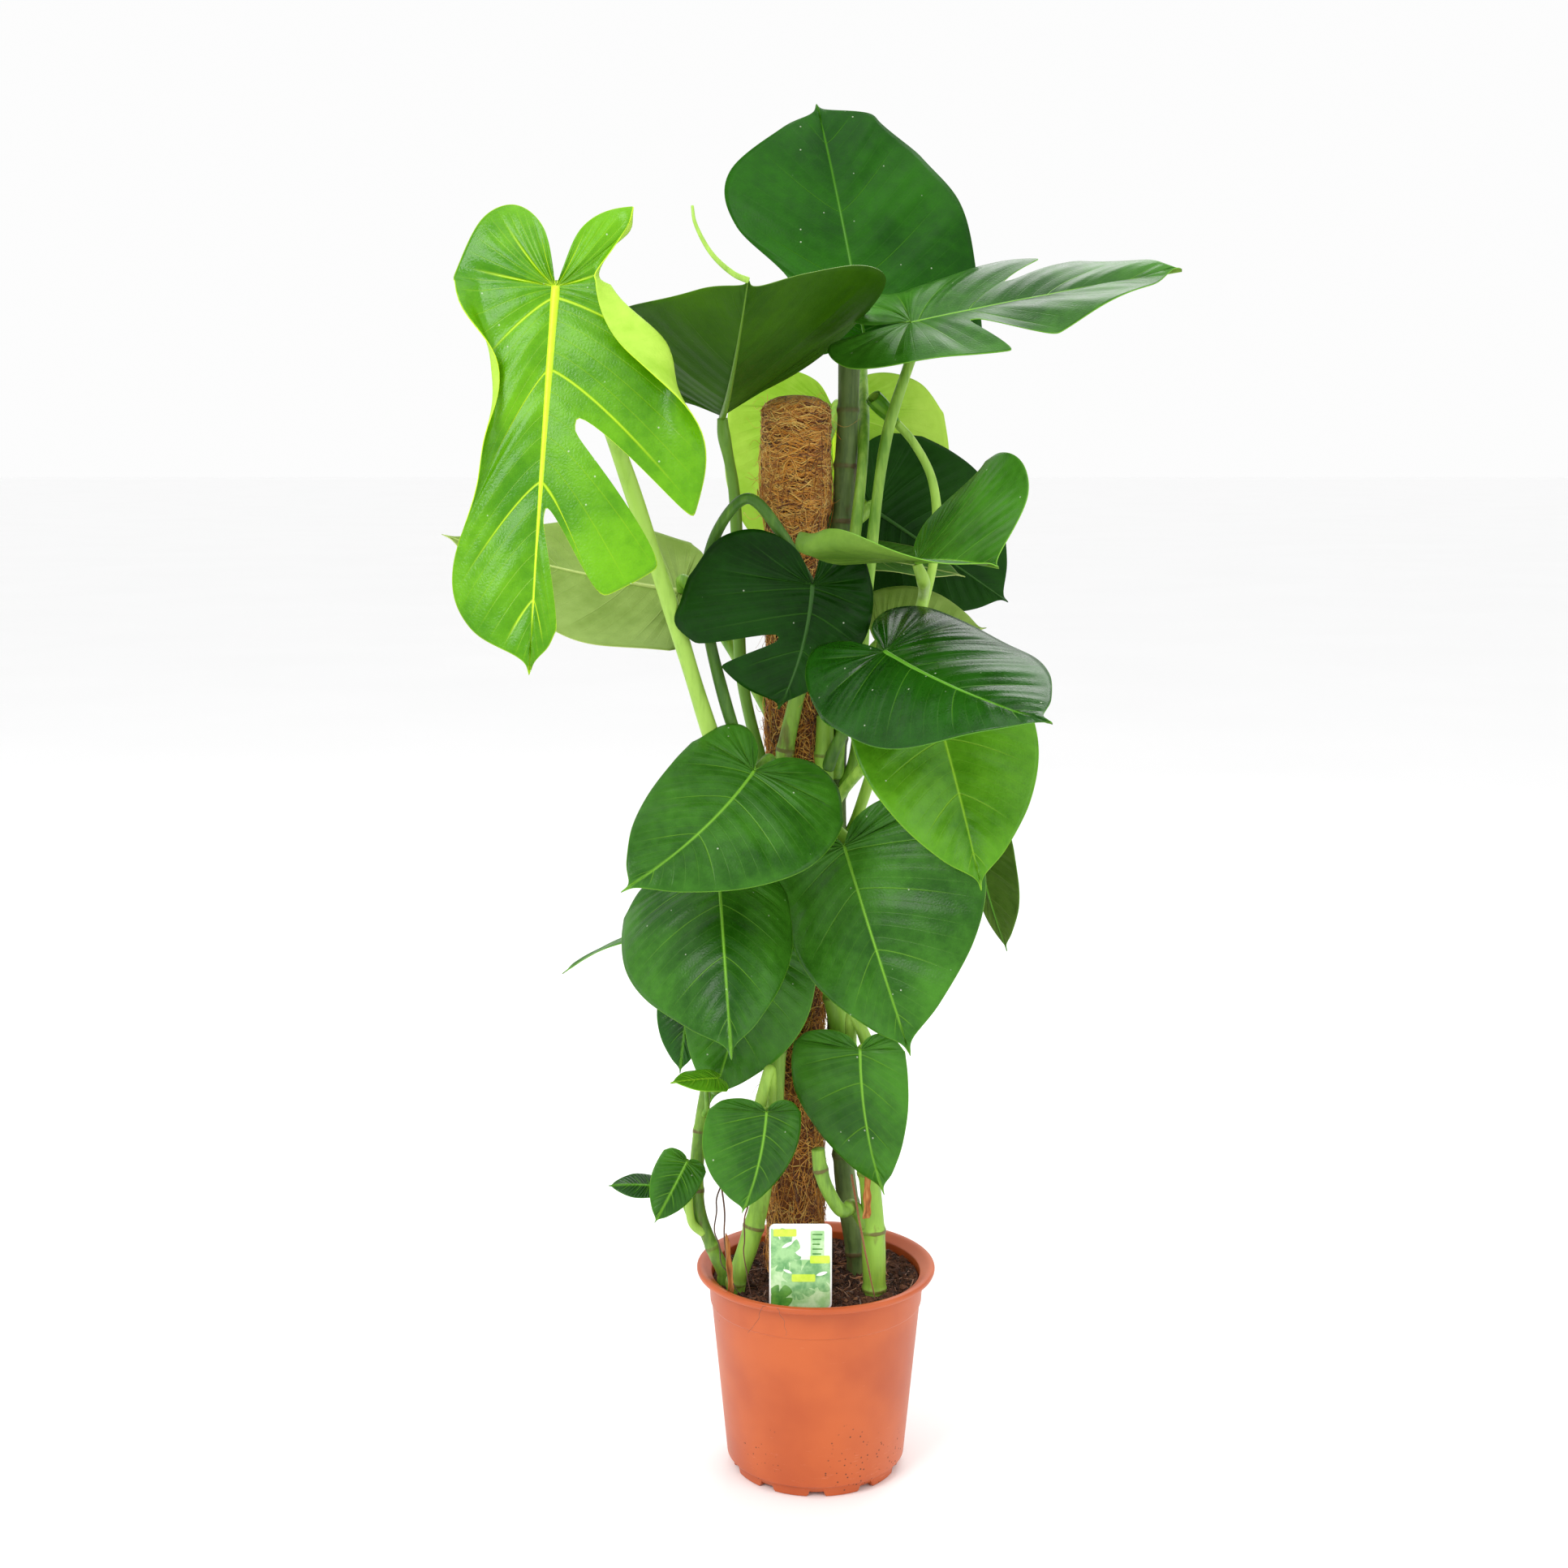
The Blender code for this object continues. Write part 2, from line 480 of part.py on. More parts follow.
pot = turned("pot", [
    (RIM_RADIUS - 0.0035, POT_HEIGHT), (RIM_RADIUS - 0.0010, POT_HEIGHT - 0.0010),
    (RIM_RADIUS, POT_HEIGHT - 0.0030), (RIM_RADIUS - 0.0012, POT_HEIGHT - LIP_HEIGHT),
    (body_radius + 0.0015, POT_HEIGHT - LIP_HEIGHT - 0.0012),
    (body_radius, POT_HEIGHT - LIP_HEIGHT - 0.0030), (body_radius - 0.0015, collar_low),
    (wall_radius(collar_low), collar_low - 0.0012), (BASE_RADIUS, FOOT_HEIGHT),
    (BASE_RADIUS - FOOT_INSET, FOOT_HEIGHT - 0.0015), (BASE_RADIUS - FOOT_INSET - 0.0008, 0),
    (0, 0), (0, FLOOR_THICKNESS), (BASE_RADIUS - FOOT_INSET - 0.0035, FLOOR_THICKNESS),
    (inside_radius(FOOT_HEIGHT), FOOT_HEIGHT + 0.0010), (inside_radius(collar_low - 0.004), collar_low - 0.004),
    (body_radius - 0.0030, POT_HEIGHT - LIP_HEIGHT), (RIM_RADIUS - 0.0065, POT_HEIGHT - 0.0012),
    (RIM_RADIUS - 0.0035, POT_HEIGHT),
], terracotta, plant, steps=48)


def notch_blocks(bm):
    for k in range(NOTCHES):
        turn = 2 * pi * (k + 0.5) / NOTCHES
        made = bmesh.ops.create_cube(bm, size=1)["verts"]
        bmesh.ops.scale(bm, vec=(0.012, NOTCH_WIDTH, FOOT_HEIGHT), verts=made)
        bmesh.ops.translate(bm, vec=(BASE_RADIUS - FOOT_INSET, 0, -FOOT_HEIGHT / 2 + 0.006), verts=made)
        bmesh.ops.rotate(bm, matrix=Matrix.Rotation(turn, 3, "Z"), verts=made, cent=(0, 0, 0))


cut(pot, cutter("pot_notches", notch_blocks, helpers))

soil_low = FLOOR_THICKNESS + GAP
knee = FOOT_HEIGHT + 0.0040
soil = turned("soil", [
    (0, SOIL_TOP), (min(inside_radius(SOIL_TOP), body_radius - 0.0040) - 2 * GAP, SOIL_TOP),
    (inside_radius(collar_low - 0.006) - 2 * GAP, collar_low - 0.006),
    (inside_radius(knee) - 2 * GAP, knee), (BASE_RADIUS - FOOT_INSET - 0.0070, soil_low), (0, soil_low),
], mix, plant, steps=48)

core_radius = POLE_RADIUS - SLEEVE_THICKNESS
core_low = SOIL_TOP - CORE_DEPTH
pole_top = SOIL_TOP + POLE_HEIGHT
core_top = pole_top - SLEEVE_CAP


def core_hole(bm):
    made = bmesh.ops.create_cone(bm, cap_ends=True, segments=24, radius1=core_radius + GAP,
                                 radius2=core_radius + GAP, depth=CORE_DEPTH + 0.02)["verts"]
    centre = (POLE_X, POLE_Y, core_low - GAP + (CORE_DEPTH + 0.02) / 2)
    bmesh.ops.translate(bm, vec=centre, verts=made)


cut(soil, cutter("core_hole", core_hole, helpers))

turned("pole_core", [(0, core_top), (core_radius - GAP, core_top), (core_radius - GAP, core_low),
                     (0, core_low)], core_plastic, plant, (POLE_X, POLE_Y), steps=24)

head_low = pole_top - POLE_HEAD_LENGTH
turned("coir_pole", [
    (0, pole_top), (POLE_HEAD_RADIUS * 0.70, pole_top - 0.0010), (POLE_HEAD_RADIUS * 0.93, pole_top - 0.0060),
    (POLE_HEAD_RADIUS, pole_top - 0.0160), (POLE_HEAD_RADIUS, head_low),
    (POLE_RADIUS, head_low - 0.0150), (POLE_RADIUS, SOIL_TOP + GAP),
    (core_radius + GAP, SOIL_TOP + GAP), (core_radius + GAP, core_top + GAP), (0, core_top + GAP),
], coir, plant, (POLE_X, POLE_Y), steps=24)

# The label stands in front, leaning on nothing, with its foot at the soil.
label_mesh = bpy.data.meshes.new("plant_label")
bm = bmesh.new()
bmesh.ops.create_cube(bm, size=1)
bmesh.ops.scale(bm, vec=(LABEL_WIDTH, LABEL_THICKNESS, LABEL_HEIGHT), verts=bm.verts)
upright = [e for e in bm.edges if abs(e.verts[0].co.y - e.verts[1].co.y) > LABEL_THICKNESS / 2]
bmesh.ops.bevel(bm, geom=upright, offset=LABEL_CORNER, segments=4, affect="EDGES", profile=0.5)
bm.to_mesh(label_mesh)
bm.free()
label = add("plant_label", label_mesh, card, plant)
label_side = abs(LABEL_X) + LABEL_WIDTH / 2
label_y = -((inside_radius(SOIL_TOP) - LABEL_RIM_GAP) ** 2 - label_side**2) ** 0.5
lean = radians(LABEL_LEAN)
label.rotation_euler = (-lean, 0, 0)
label.location = (LABEL_X, label_y + LABEL_HEIGHT / 2 * sin(lean),
                  SOIL_TOP + 2 * GAP + LABEL_HEIGHT / 2 * cos(lean) + LABEL_THICKNESS / 2 * sin(lean))

STEM_ROUTES = {name: stem_route(*values) for name, values in STEMS.items()}
for name, route in STEM_ROUTES.items():
    tube(name, smooth(route, 14), stem_green, plant, sides=8)

for name, values in LEAVES.items():
    blade(name, values, plant)
    if name in PETIOLES:
        route = petiole_route(*PETIOLES[name], values)
        tube(name.replace("leaf", "petiole"), smooth(route, 12), stalk_green, plant)

for name, values in SHOOTS.items():
    route = smooth(shoot_route(*values), 12)
    tube(name, route, stem_green if "stem" in name else stalk_green, plant)
ahead = route[-1, :3] - route[-2, :3]
ahead /= np.linalg.norm(ahead)
rolled = [(*(route[-1, :3] + distance * ahead), radius) for distance, radius in ROLLED_LEAF]
tube("leaf_rolled", smooth(rolled, 8), material("leaf_bright", GREENS["bright"], 0.4), plant, sides=8)
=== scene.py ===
"""Looks of a monstera on a coir pole in a terracotta-coloured plastic nursery pot.

Metres, +Z up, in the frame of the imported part. The plant's points repeat the part's own values.
"""

from math import cos, pi, radians, sin

import bpy
import numpy as np
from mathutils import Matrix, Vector


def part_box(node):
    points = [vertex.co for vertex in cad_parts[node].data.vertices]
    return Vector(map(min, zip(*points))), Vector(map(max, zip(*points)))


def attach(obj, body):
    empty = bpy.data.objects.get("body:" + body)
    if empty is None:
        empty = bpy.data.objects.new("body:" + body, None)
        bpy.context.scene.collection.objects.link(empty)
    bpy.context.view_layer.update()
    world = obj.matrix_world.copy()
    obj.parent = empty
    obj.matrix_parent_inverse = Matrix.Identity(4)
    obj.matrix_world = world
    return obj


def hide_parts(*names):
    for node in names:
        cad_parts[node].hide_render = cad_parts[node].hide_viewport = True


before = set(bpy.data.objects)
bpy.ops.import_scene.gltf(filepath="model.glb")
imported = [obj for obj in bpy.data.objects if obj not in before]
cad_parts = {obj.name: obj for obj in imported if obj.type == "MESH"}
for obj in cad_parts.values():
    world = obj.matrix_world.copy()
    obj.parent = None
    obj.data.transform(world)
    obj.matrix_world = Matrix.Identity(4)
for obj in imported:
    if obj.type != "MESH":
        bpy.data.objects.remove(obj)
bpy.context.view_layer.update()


# ---------------------------------------------------------------- camera and light

LENS_IN_FRAME_WIDTHS = 2700 / 1932
FILM_WIDTH = 36
CAMERA_AT, CAMERA_DIP = (-0.028, -1.84, 0.909), 9.2

camera = bpy.data.objects.new("camera", bpy.data.cameras.new("camera"))
camera.data.sensor_width = FILM_WIDTH
camera.data.lens = FILM_WIDTH * LENS_IN_FRAME_WIDTHS
camera.location = CAMERA_AT
camera.rotation_euler = (radians(90 - CAMERA_DIP), 0, 0)
bpy.context.scene.collection.objects.link(camera)
bpy.context.scene.camera = camera
bpy.context.scene.view_settings.view_transform = "Standard"


def softbox(name, at, size, watts, towards=(-0.02, 0, 0.65)):
    light = bpy.data.lights.new(name, "AREA")
    light.shape = "RECTANGLE"
    light.size, light.size_y = size
    light.energy = watts
    lamp = bpy.data.objects.new(name, light)
    lamp.location = at
    lamp.rotation_euler = (Vector(towards) - Vector(at)).to_track_quat("-Z", "Y").to_euler()
    bpy.context.scene.collection.objects.link(lamp)


softbox("key", (-1.5, -1.9, 2.5), (1.3, 1.3), 44)
softbox("fill", (2.2, -1.6, 1.5), (1.2, 1.8), 12)
softbox("back", (0.6, 1.9, 2.4), (2.0, 1.4), 22)
softbox("top", (0.0, -0.4, 3.0), (1.6, 1.6), 12)

world = bpy.data.worlds.new("studio")
bpy.context.scene.world = world
world.use_nodes = True
sky = world.node_tree.nodes["Background"]
sky.inputs["Color"].default_value = (1, 1, 1, 1)
sky.inputs["Strength"].default_value = 0.98


# ---------------------------------------------------------------- shader maths

class Signal:
    """A shader socket that is added to, multiplied and compared like a number."""

    def __init__(self, paint, socket):
        self.paint, self.socket = paint, socket

    def maths(self, operation, other=0.0, swapped=False):
        first, second = (other, self) if swapped else (self, other)
        return self.paint.node("Math", {0: first, 1: second}, operation=operation)

    def __add__(self, other):
        return self.maths("ADD", other)

    def __sub__(self, other):
        return self.maths("SUBTRACT", other)

    def __rsub__(self, other):
        return self.maths("SUBTRACT", other, True)

    def __mul__(self, other):
        return self.maths("MULTIPLY", other)

    def __truediv__(self, other):
        return self.maths("DIVIDE", other)

    def __gt__(self, other):
        return self.maths("GREATER_THAN", other)

    def __lt__(self, other):
        return self.maths("LESS_THAN", other)

    __radd__ = __add__
    __rmul__ = __mul__


class Paint:
    """A material with a Principled shader, whose nodes are added by type, inputs and settings."""

    def __init__(self, name, **constants):
        self.material = bpy.data.materials.new(name)
        self.material.use_nodes = True
        self.tree = self.material.node_tree
        self.shader = self.tree.nodes["Principled BSDF"]
        for key, value in constants.items():
            self.shader.inputs[key.replace("_", " ").title().replace("Ior", "IOR")].default_value = value
        self.place = self.node("TexCoord", out="Object")

    def node(self, kind, inputs=None, out=0, stops=None, **settings):
        made = self.tree.nodes.new("ShaderNode" + kind)
        for key, value in settings.items():
            setattr(made, key, value)
        if stops:
            while len(made.color_ramp.elements) < len(stops):
                made.color_ramp.elements.new(0.5)
            for element, (position, colour) in zip(made.color_ramp.elements, stops):
                element.position = position
                element.color = (*colour, 1)
        for key, value in (inputs or {}).items():
            self.join(value, made.inputs[key])
        return Signal(self, made.outputs[out])

    def join(self, value, socket):
        if isinstance(value, Signal):
            self.tree.links.new(value.socket, socket)
        elif isinstance(value, tuple) and len(value) == 3 and socket.type == "RGBA":
            socket.default_value = (*value, 1)
        else:
            socket.default_value = value

    def attribute(self, name):
        return self.node("Attribute", out="Fac", attribute_name=name)

    def noise(self, scale, detail=3.0, rough=0.55, stretch=None):
        where = self.place
        if stretch:
            where = self.node("Mapping", {"Vector": where, "Scale": stretch})
        return self.node("TexNoise", {"Vector": where, "Scale": scale, "Detail": detail, "Roughness": rough})

    def rise(self, value, low, high, first=0.0, last=1.0):
        """first at low, last at high and smooth between them."""
        return self.node("MapRange", {"Value": value, "From Min": low, "From Max": high,
                                      "To Min": first, "To Max": last}, interpolation_type="SMOOTHSTEP")

    def fall(self, value, low, high):
        """1 at low, 0 at high and smooth between them."""
        return self.rise(value, low, high, 1.0, 0.0)

    def folded(self, turns):
        """How far a count of turns is from the nearest whole one."""
        off = self.node("Math", {0: turns, 1: 1.0}, operation="FRACT")
        return off.maths("MINIMUM", 1.0 - off)

    def blend(self, share, first, second):
        return self.node("Mix", {0: share, 6: first, 7: second}, out=2, data_type="RGBA")

    def ramp(self, value, stops):
        return self.node("ValToRGB", {"Fac": value}, stops=stops)

    def finish(self, colour, roughness, height=None, depth=0.001, strength=0.6):
        """Joins the varying colour and roughness, and a height in metres as a bump."""
        self.join(colour, self.shader.inputs["Base Color"])
        self.join(roughness, self.shader.inputs["Roughness"])
        if height is not None:
            bump = self.node("Bump", {"Height": height, "Distance": depth, "Strength": strength})
            self.join(bump, self.shader.inputs["Normal"])
        return self.material


def tone(red, green, blue):
    """A colour picked on a display, as linear light."""
    share = np.array([red, green, blue]) / 255
    return tuple(np.where(share < 0.04045, share / 12.92, ((share + 0.055) / 1.055) ** 2.4).tolist())


# ---------------------------------------------------------------- meshes

def piece(name, points, faces, finishes, replaces=(), values=None, smooth=True):
    """A mesh object that rides with the pot, with per-point values for its materials to read."""
    mesh = bpy.data.meshes.new(name)
    polygons = [face.tolist() for group in faces for face in group]
    mesh.from_pydata(np.asarray(points, float).tolist(), [], polygons)
    for key, numbers in (values or {}).items():
        layer = mesh.attributes.new(key, "FLOAT", "POINT")
        layer.data.foreach_set("value", np.asarray(numbers, np.float32).ravel())
    for finish in finishes:
        mesh.materials.append(finish)
    if smooth:
        mesh.shade_smooth()
    made = bpy.data.objects.new(name, mesh)
    bpy.context.scene.collection.objects.link(made)
    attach(made, "root")
    if replaces:
        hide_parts(*replaces)
    return made


def thicken(sheet, thickness, far_side=0, rim=0):
    """Half the thickness on each side. far_side and rim are counts of materials further on."""
    solidify = sheet.modifiers.new("thickness", "SOLIDIFY")
    solidify.thickness = thickness
    solidify.offset = 0
    solidify.material_offset = far_side
    solidify.material_offset_rim = rim


def grid_faces(rows, columns, wrap=False):
    """Quads of a grid of rows by columns, its columns joined round where wrap is set."""
    r = np.arange(rows - 1)[:, None]
    c = np.arange(columns if wrap else columns - 1)[None, :]
    after = (c + 1) % columns
    corners = [r * columns + c, r * columns + after, (r + 1) * columns + after, (r + 1) * columns + c]
    return np.stack([np.broadcast_to(q, (rows - 1, c.shape[1])) for q in corners], -1).reshape(-1, 4)


def welded(points, quads, values):
    """Equal points made one. A quad that lost a corner becomes a triangle, or goes."""
    _, first, index = np.unique(np.round(points / 2e-5).astype(np.int64), axis=0,
                                return_index=True, return_inverse=True)
    quads = index.reshape(-1)[quads]
    same = quads == np.roll(quads, -1, axis=1)
    lost = same.sum(1)
    crossed = (quads[:, 0] == quads[:, 2]) | (quads[:, 1] == quads[:, 3])
    whole = quads[(lost == 0) & ~crossed]
    short = quads[(lost == 1) & ~crossed]
    at = same[(lost == 1) & ~crossed].argmax(1)
    keep = (at[:, None] + np.arange(1, 4)) % 4
    corners = np.take_along_axis(short, keep, 1)
    return points[first], [whole, corners], {key: v[first] for key, v in values.items()}


def travelled(points, power=1.0):
    """The way along a line of points to each of them, every step of it raised to power."""
    steps = np.linalg.norm(np.diff(points, axis=-2), axis=-1) ** power
    return np.concatenate([np.zeros_like(steps[..., :1]), np.cumsum(steps, axis=-1)], axis=-1)


def smoothed(points, count):
    """count points on a centripetal spline through points, which may carry further values."""
    p = np.asarray(points, float)
    t = travelled(p[:, :3], 0.5)
    m = np.gradient(p, t, axis=0)
    s = np.linspace(0, t[-1], count)
    k = np.clip(np.searchsorted(t, s, side="right") - 1, 0, len(t) - 2)
    h = (t[k + 1] - t[k])[:, None]
    f = (s - t[k])[:, None] / h
    return ((1 + 2 * f) * (1 - f) ** 2 * p[k] + f * (1 - f) ** 2 * h * m[k]
            + f * f * (3 - 2 * f) * p[k + 1] + f * f * (f - 1) * h * m[k + 1])


def strands(name, routes, radii, shades, finish, sides=3, replaces=()):
    """Round strands as one mesh: routes is strands by points by 3, radii strands by points.

    Each ring lies square to its strand, turned from the direction least like the strand's own.
    """
    routes, radii = np.asarray(routes, float), np.asarray(radii, float)
    count, steps = routes.shape[:2]
    along = np.gradient(routes, axis=1)
    along /= np.linalg.norm(along, axis=2, keepdims=True) + 1e-12
    spread = np.einsum("nki,nkj->nij", along, along)
    least = np.linalg.eigh(spread)[1][:, :, 0]
    across = np.cross(along, least[:, None, :])
    across /= np.linalg.norm(across, axis=2, keepdims=True) + 1e-12
    other = np.cross(along, across)
    turn = 2 * pi * np.arange(sides) / sides
    ring = (across[:, :, None] * np.cos(turn)[:, None] + other[:, :, None] * np.sin(turn)[:, None])
    points = (routes[:, :, None] + radii[:, :, None, None] * ring).reshape(-1, 3)
    base = (np.arange(count) * steps * sides)[:, None, None]
    quads = (grid_faces(steps, sides, wrap=True)[None] + base).reshape(-1, 4)
    cap = np.arange(sides)
    starts = base[:, 0] + cap[::-1]
    ends = base[:, 0] + (steps - 1) * sides + cap
    values = {"shade": np.repeat(shades, steps * sides), "along": np.repeat(travelled(routes).ravel(), sides)}
    return piece(name, points, [quads, starts, ends], [finish], replaces, values)


rng = np.random.default_rng(11)


def spread(low, high, count):
    """A column of count random numbers."""
    return rng.uniform(low, high, count)[:, None]


def swing(count):
    """A column of random starts for the sines below."""
    return spread(0, 6, count)


def turned(x, y, turn):
    return x * np.cos(turn) - y * np.sin(turn), x * np.sin(turn) + y * np.cos(turn)


# ---------------------------------------------------------------- sizes read from the part

def corners(node):
    return [np.array(corner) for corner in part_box(node)]


RIM_RADIUS, _, POT_HEIGHT = corners("pot")[1]
SOIL_RADIUS, _, SOIL_TOP = corners("soil")[1]
pole_low, pole_high = corners("coir_pole")
POLE_X, POLE_Y = (pole_low[:2] + pole_high[:2]) / 2
POLE_TOP = pole_high[2]
POLE_HEAD_RADIUS = (pole_high[0] - pole_low[0]) / 2
POLE_RADIUS, POLE_HEAD_LENGTH = 0.0245, 0.090
GAP = 0.0003
STALK_END, STALK_APPROACH, STEM_FOOT = 0.8, 0.012, 0.008
ROOTED = 0.45  # how far out in the stem a shoot starts, as a share of the stem's radius
BURIED = 0.006  # how far a stem runs down into the soil
ROLL_SPAN = 0.17  # stretch between midrib and margin over which a rolled margin turns


# ---------------------------------------------------------------- the plant's own values

# Half outline of a heart-shaped blade, from the stalk round the lobe to the tip: across in half
# widths; along in lobe depths behind the stalk (negative) and in lengths ahead of it.
MARGIN = [(0.0, 0.0), (0.15, -0.70), (0.43, -1.0), (0.74, -0.76), (0.94, -0.08), (1.0, 0.20),
          (0.95, 0.44), (0.72, 0.66), (0.35, 0.845), (0.06, 0.94), (0.0, 1.0)]
# Where the vein to each of those points leaves the midrib, in lengths.
VEIN_ROOT = [(0.0,), (0.0,), (0.0,), (0.0,), (0.0,), (0.03,), (0.17,), (0.39,), (0.63,), (0.86,), (1.0,)]


def leaf(at, aim, size, lobe=0.2, droop=15.0, cup=-10.0, fold=0.0, full=-0.05, sweep=0.0,
         slits=(), wide=((1,) * 11, (1,) * 11), green="mid"):
    """A blade's own values.

    at: x, y and height above the soil of the point where the stalk joins; aim: the midrib's compass
    heading, its rise and the roll about it, in degrees; size: length, left and right half widths.
    lobe is in lengths. droop bends the midrib, fold lifts both halves, cup curls their margins, and
    sweep curves the midrib sideways, all in degrees. full moves the widest part towards the tip.
    A slit is its side, its place round the margin, its depth and its half width. wide is the share
    of the half width that the left and the right half have at each point of MARGIN.
    """
    return dict(at=at, aim=aim, size=size, lobe=lobe, droop=droop, cup=cup, fold=fold, full=full,
                sweep=sweep, slits=slits, wide=wide, green=green)


LEAVES = {
    "leaf_top": leaf((0.041, 0.073, 0.814), (112, 66, -14), (0.244, 0.108, 0.110), lobe=0.05,
                     droop=14, cup=-12, fold=4, full=0.28, green="bright",
                     wide=((1, 1, 1, 0.7, 0.45, 0.5, 0.9, 1.15, 1.0, 1.2, 1),
                           (1, 1, 1, 1, 1, 1, 1.02, 1.06, 1.35, 2.6, 1))),
    "leaf_under_top": leaf((-0.079, -0.011, 0.748), (-84, 10, 4), (0.225, 0.156, 0.106), lobe=0.06,
                           droop=-30, cup=6, fold=28, full=0.2, sweep=-4, green="olive"),
    "leaf_lime_split": leaf((-0.198, -0.170, 0.842), (-103, -74, -8), (0.292, 0.128, 0.076),
                            lobe=0.22, droop=4, cup=-10, full=0.25, green="lime",
                            slits=((-1, 0.665, 0.80, 0.022), (-1, 0.775, 0.88, 0.022)),
                            wide=((1, 0.8, 0.8, 0.5, 0.32, 0.77, 0.96, 0.96, 0.45, 0.8, 1),
                                  (1, 1.1, 1.15, 1.1, 1.05, 0.60, 0.62, 1.15, 1.85, 2.4, 1))),
    "leaf_right_split": leaf((0.076, -0.003, 0.823), (-8, 13, 22), (0.222, 0.100, 0.100), lobe=0.30,
                             droop=6, cup=-22, fold=10, full=0.2, green="mid",
                             slits=((-1, 0.64, 0.55, 0.024), (1, 0.58, 0.6, 0.024))),
    "leaf_back_lime": leaf((0.016, 0.128, 0.756), (-82, -82, 173), (0.185, 0.097, 0.116), lobe=0.18,
                           droop=0, cup=12, fold=4, green="lime"),
    "leaf_back_dark": leaf((0.049, 0.099, 0.668), (-8, -33, -104), (0.146, 0.062, 0.086), lobe=0.26,
                           droop=-10, cup=10, fold=6, full=0.1, green="deep"),
    "leaf_wavy": leaf((0.077, -0.089, 0.633), (-68, 5, 22), (0.135, 0.104, 0.104), lobe=0.24,
                      droop=10, cup=6, fold=24, green="bright"),
    "leaf_front_split": leaf((-0.005, -0.081, 0.614), (-118, -82, -34), (0.105, 0.052, 0.104),
                             lobe=0.40, droop=28, cup=-14, full=-0.12, sweep=20, green="deep",
                             slits=((1, 0.69, 0.72, 0.026),),
                             wide=((1,) * 11, (1, 1, 1, 1, 1, 1, 1.05, 0.9, 1, 1, 1))),
    "leaf_glossy": leaf((0.051, -0.137, 0.565), (-62, -13, 27), (0.183, 0.090, 0.075), lobe=0.38,
                        droop=7, cup=-20, fold=-8, full=-0.15, sweep=-20, green="deep"),
    "leaf_bright_right": leaf((0.094, -0.056, 0.517), (-67, -54, 12), (0.165, 0.075, 0.080),
                              droop=13, cup=-8, fold=13, full=-0.14, green="bright",
                              slits=((-1, 0.42, 0.45, 0.035),)),
    "leaf_mid_left": leaf((-0.052, -0.090, 0.464), (-125, -36, -31), (0.153, 0.087, 0.060),
                          lobe=0.22, droop=7, cup=-16, fold=3, full=-0.1, sweep=26, green="deep"),
    "leaf_mid_right": leaf((0.022, -0.065, 0.398), (-62, -56, 52), (0.180, 0.108, 0.075),
                           lobe=0.14, droop=17, cup=-2, fold=-6, full=-0.1, sweep=5, green="deep"),
    "leaf_far_right": leaf((0.140, 0.030, 0.384), (-54, -75, -104), (0.100, 0.014, 0.035), droop=-20,
                           cup=3, green="deep"),
    "leaf_low_left": leaf((-0.082, -0.070, 0.377), (-85, -33, 4), (0.168, 0.068, 0.099), lobe=0.13,
                          droop=33, cup=-34, fold=-14, full=-0.12, green="mid"),
    "leaf_behind_left": leaf((-0.060, -0.038, 0.313), (-142, -86, -36), (0.150, 0.066, 0.050),
                             lobe=0.15, droop=13, cup=7, fold=4, sweep=22, green="deep"),
    "leaf_small_dark": leaf((-0.109, -0.009, 0.266), (-110, -71, -18), (0.077, 0.021, 0.026),
                            lobe=0.15, green="deep"),
    "leaf_side_left": leaf((-0.120, 0.030, 0.310), (-165, -4, 12), (0.110, 0.030, 0.030), droop=30,
                           green="mid"),
    "leaf_small_light": leaf((-0.084, -0.045, 0.193), (-152, 6, -14), (0.044, 0.020, 0.017),
                             lobe=0.1, droop=10, green="bright"),
    "leaf_heart_low": leaf((-0.043, -0.080, 0.175), (-107, -77, -38), (0.088, 0.035, 0.051),
                           lobe=0.12, droop=21, cup=-11, fold=-5, sweep=12, green="mid"),
    "leaf_heart_right": leaf((0.036, -0.070, 0.226), (-78, -86, 37), (0.130, 0.040, 0.068),
                             lobe=0.11, droop=18, cup=-2, fold=-7, full=-0.14, sweep=-10, green="mid"),
    "leaf_heart_left": leaf((-0.111, -0.040, 0.118), (-134, -51, -53), (0.058, 0.020, 0.023),
                            lobe=0.1, green="mid"),
    "leaf_tiny_left": leaf((-0.144, -0.020, 0.089), (-175, 6, -37), (0.036, 0.012, 0.013),
                           lobe=0.1, green="deep"),
    "leaf_pale_left": leaf((-0.117, 0.060, 0.597), (-180, 9, 144), (0.211, 0.070, 0.090), lobe=0.08,
                           droop=13, cup=-8, full=-0.16, green="olive"),
    "leaf_back_olive": leaf((0.057, 0.035, 0.553), (5, 8, -120), (0.090, 0.020, 0.054), lobe=0.1,
                            droop=10, cup=-3, full=-0.1, green="olive"),
    "leaf_silver_fold": leaf((0.035, 0.062, 0.626), (-12, -4, 20), (0.095, 0.035, 0.030),
                             droop=10, cup=10, green="olive"),
    "dry_sheath": leaf((0.042, -0.0530, 0.075), (90, 84, 8), (0.040, 0.007, 0.007), lobe=0.1, droop=6,
                       cup=-35, green="dry"),
}

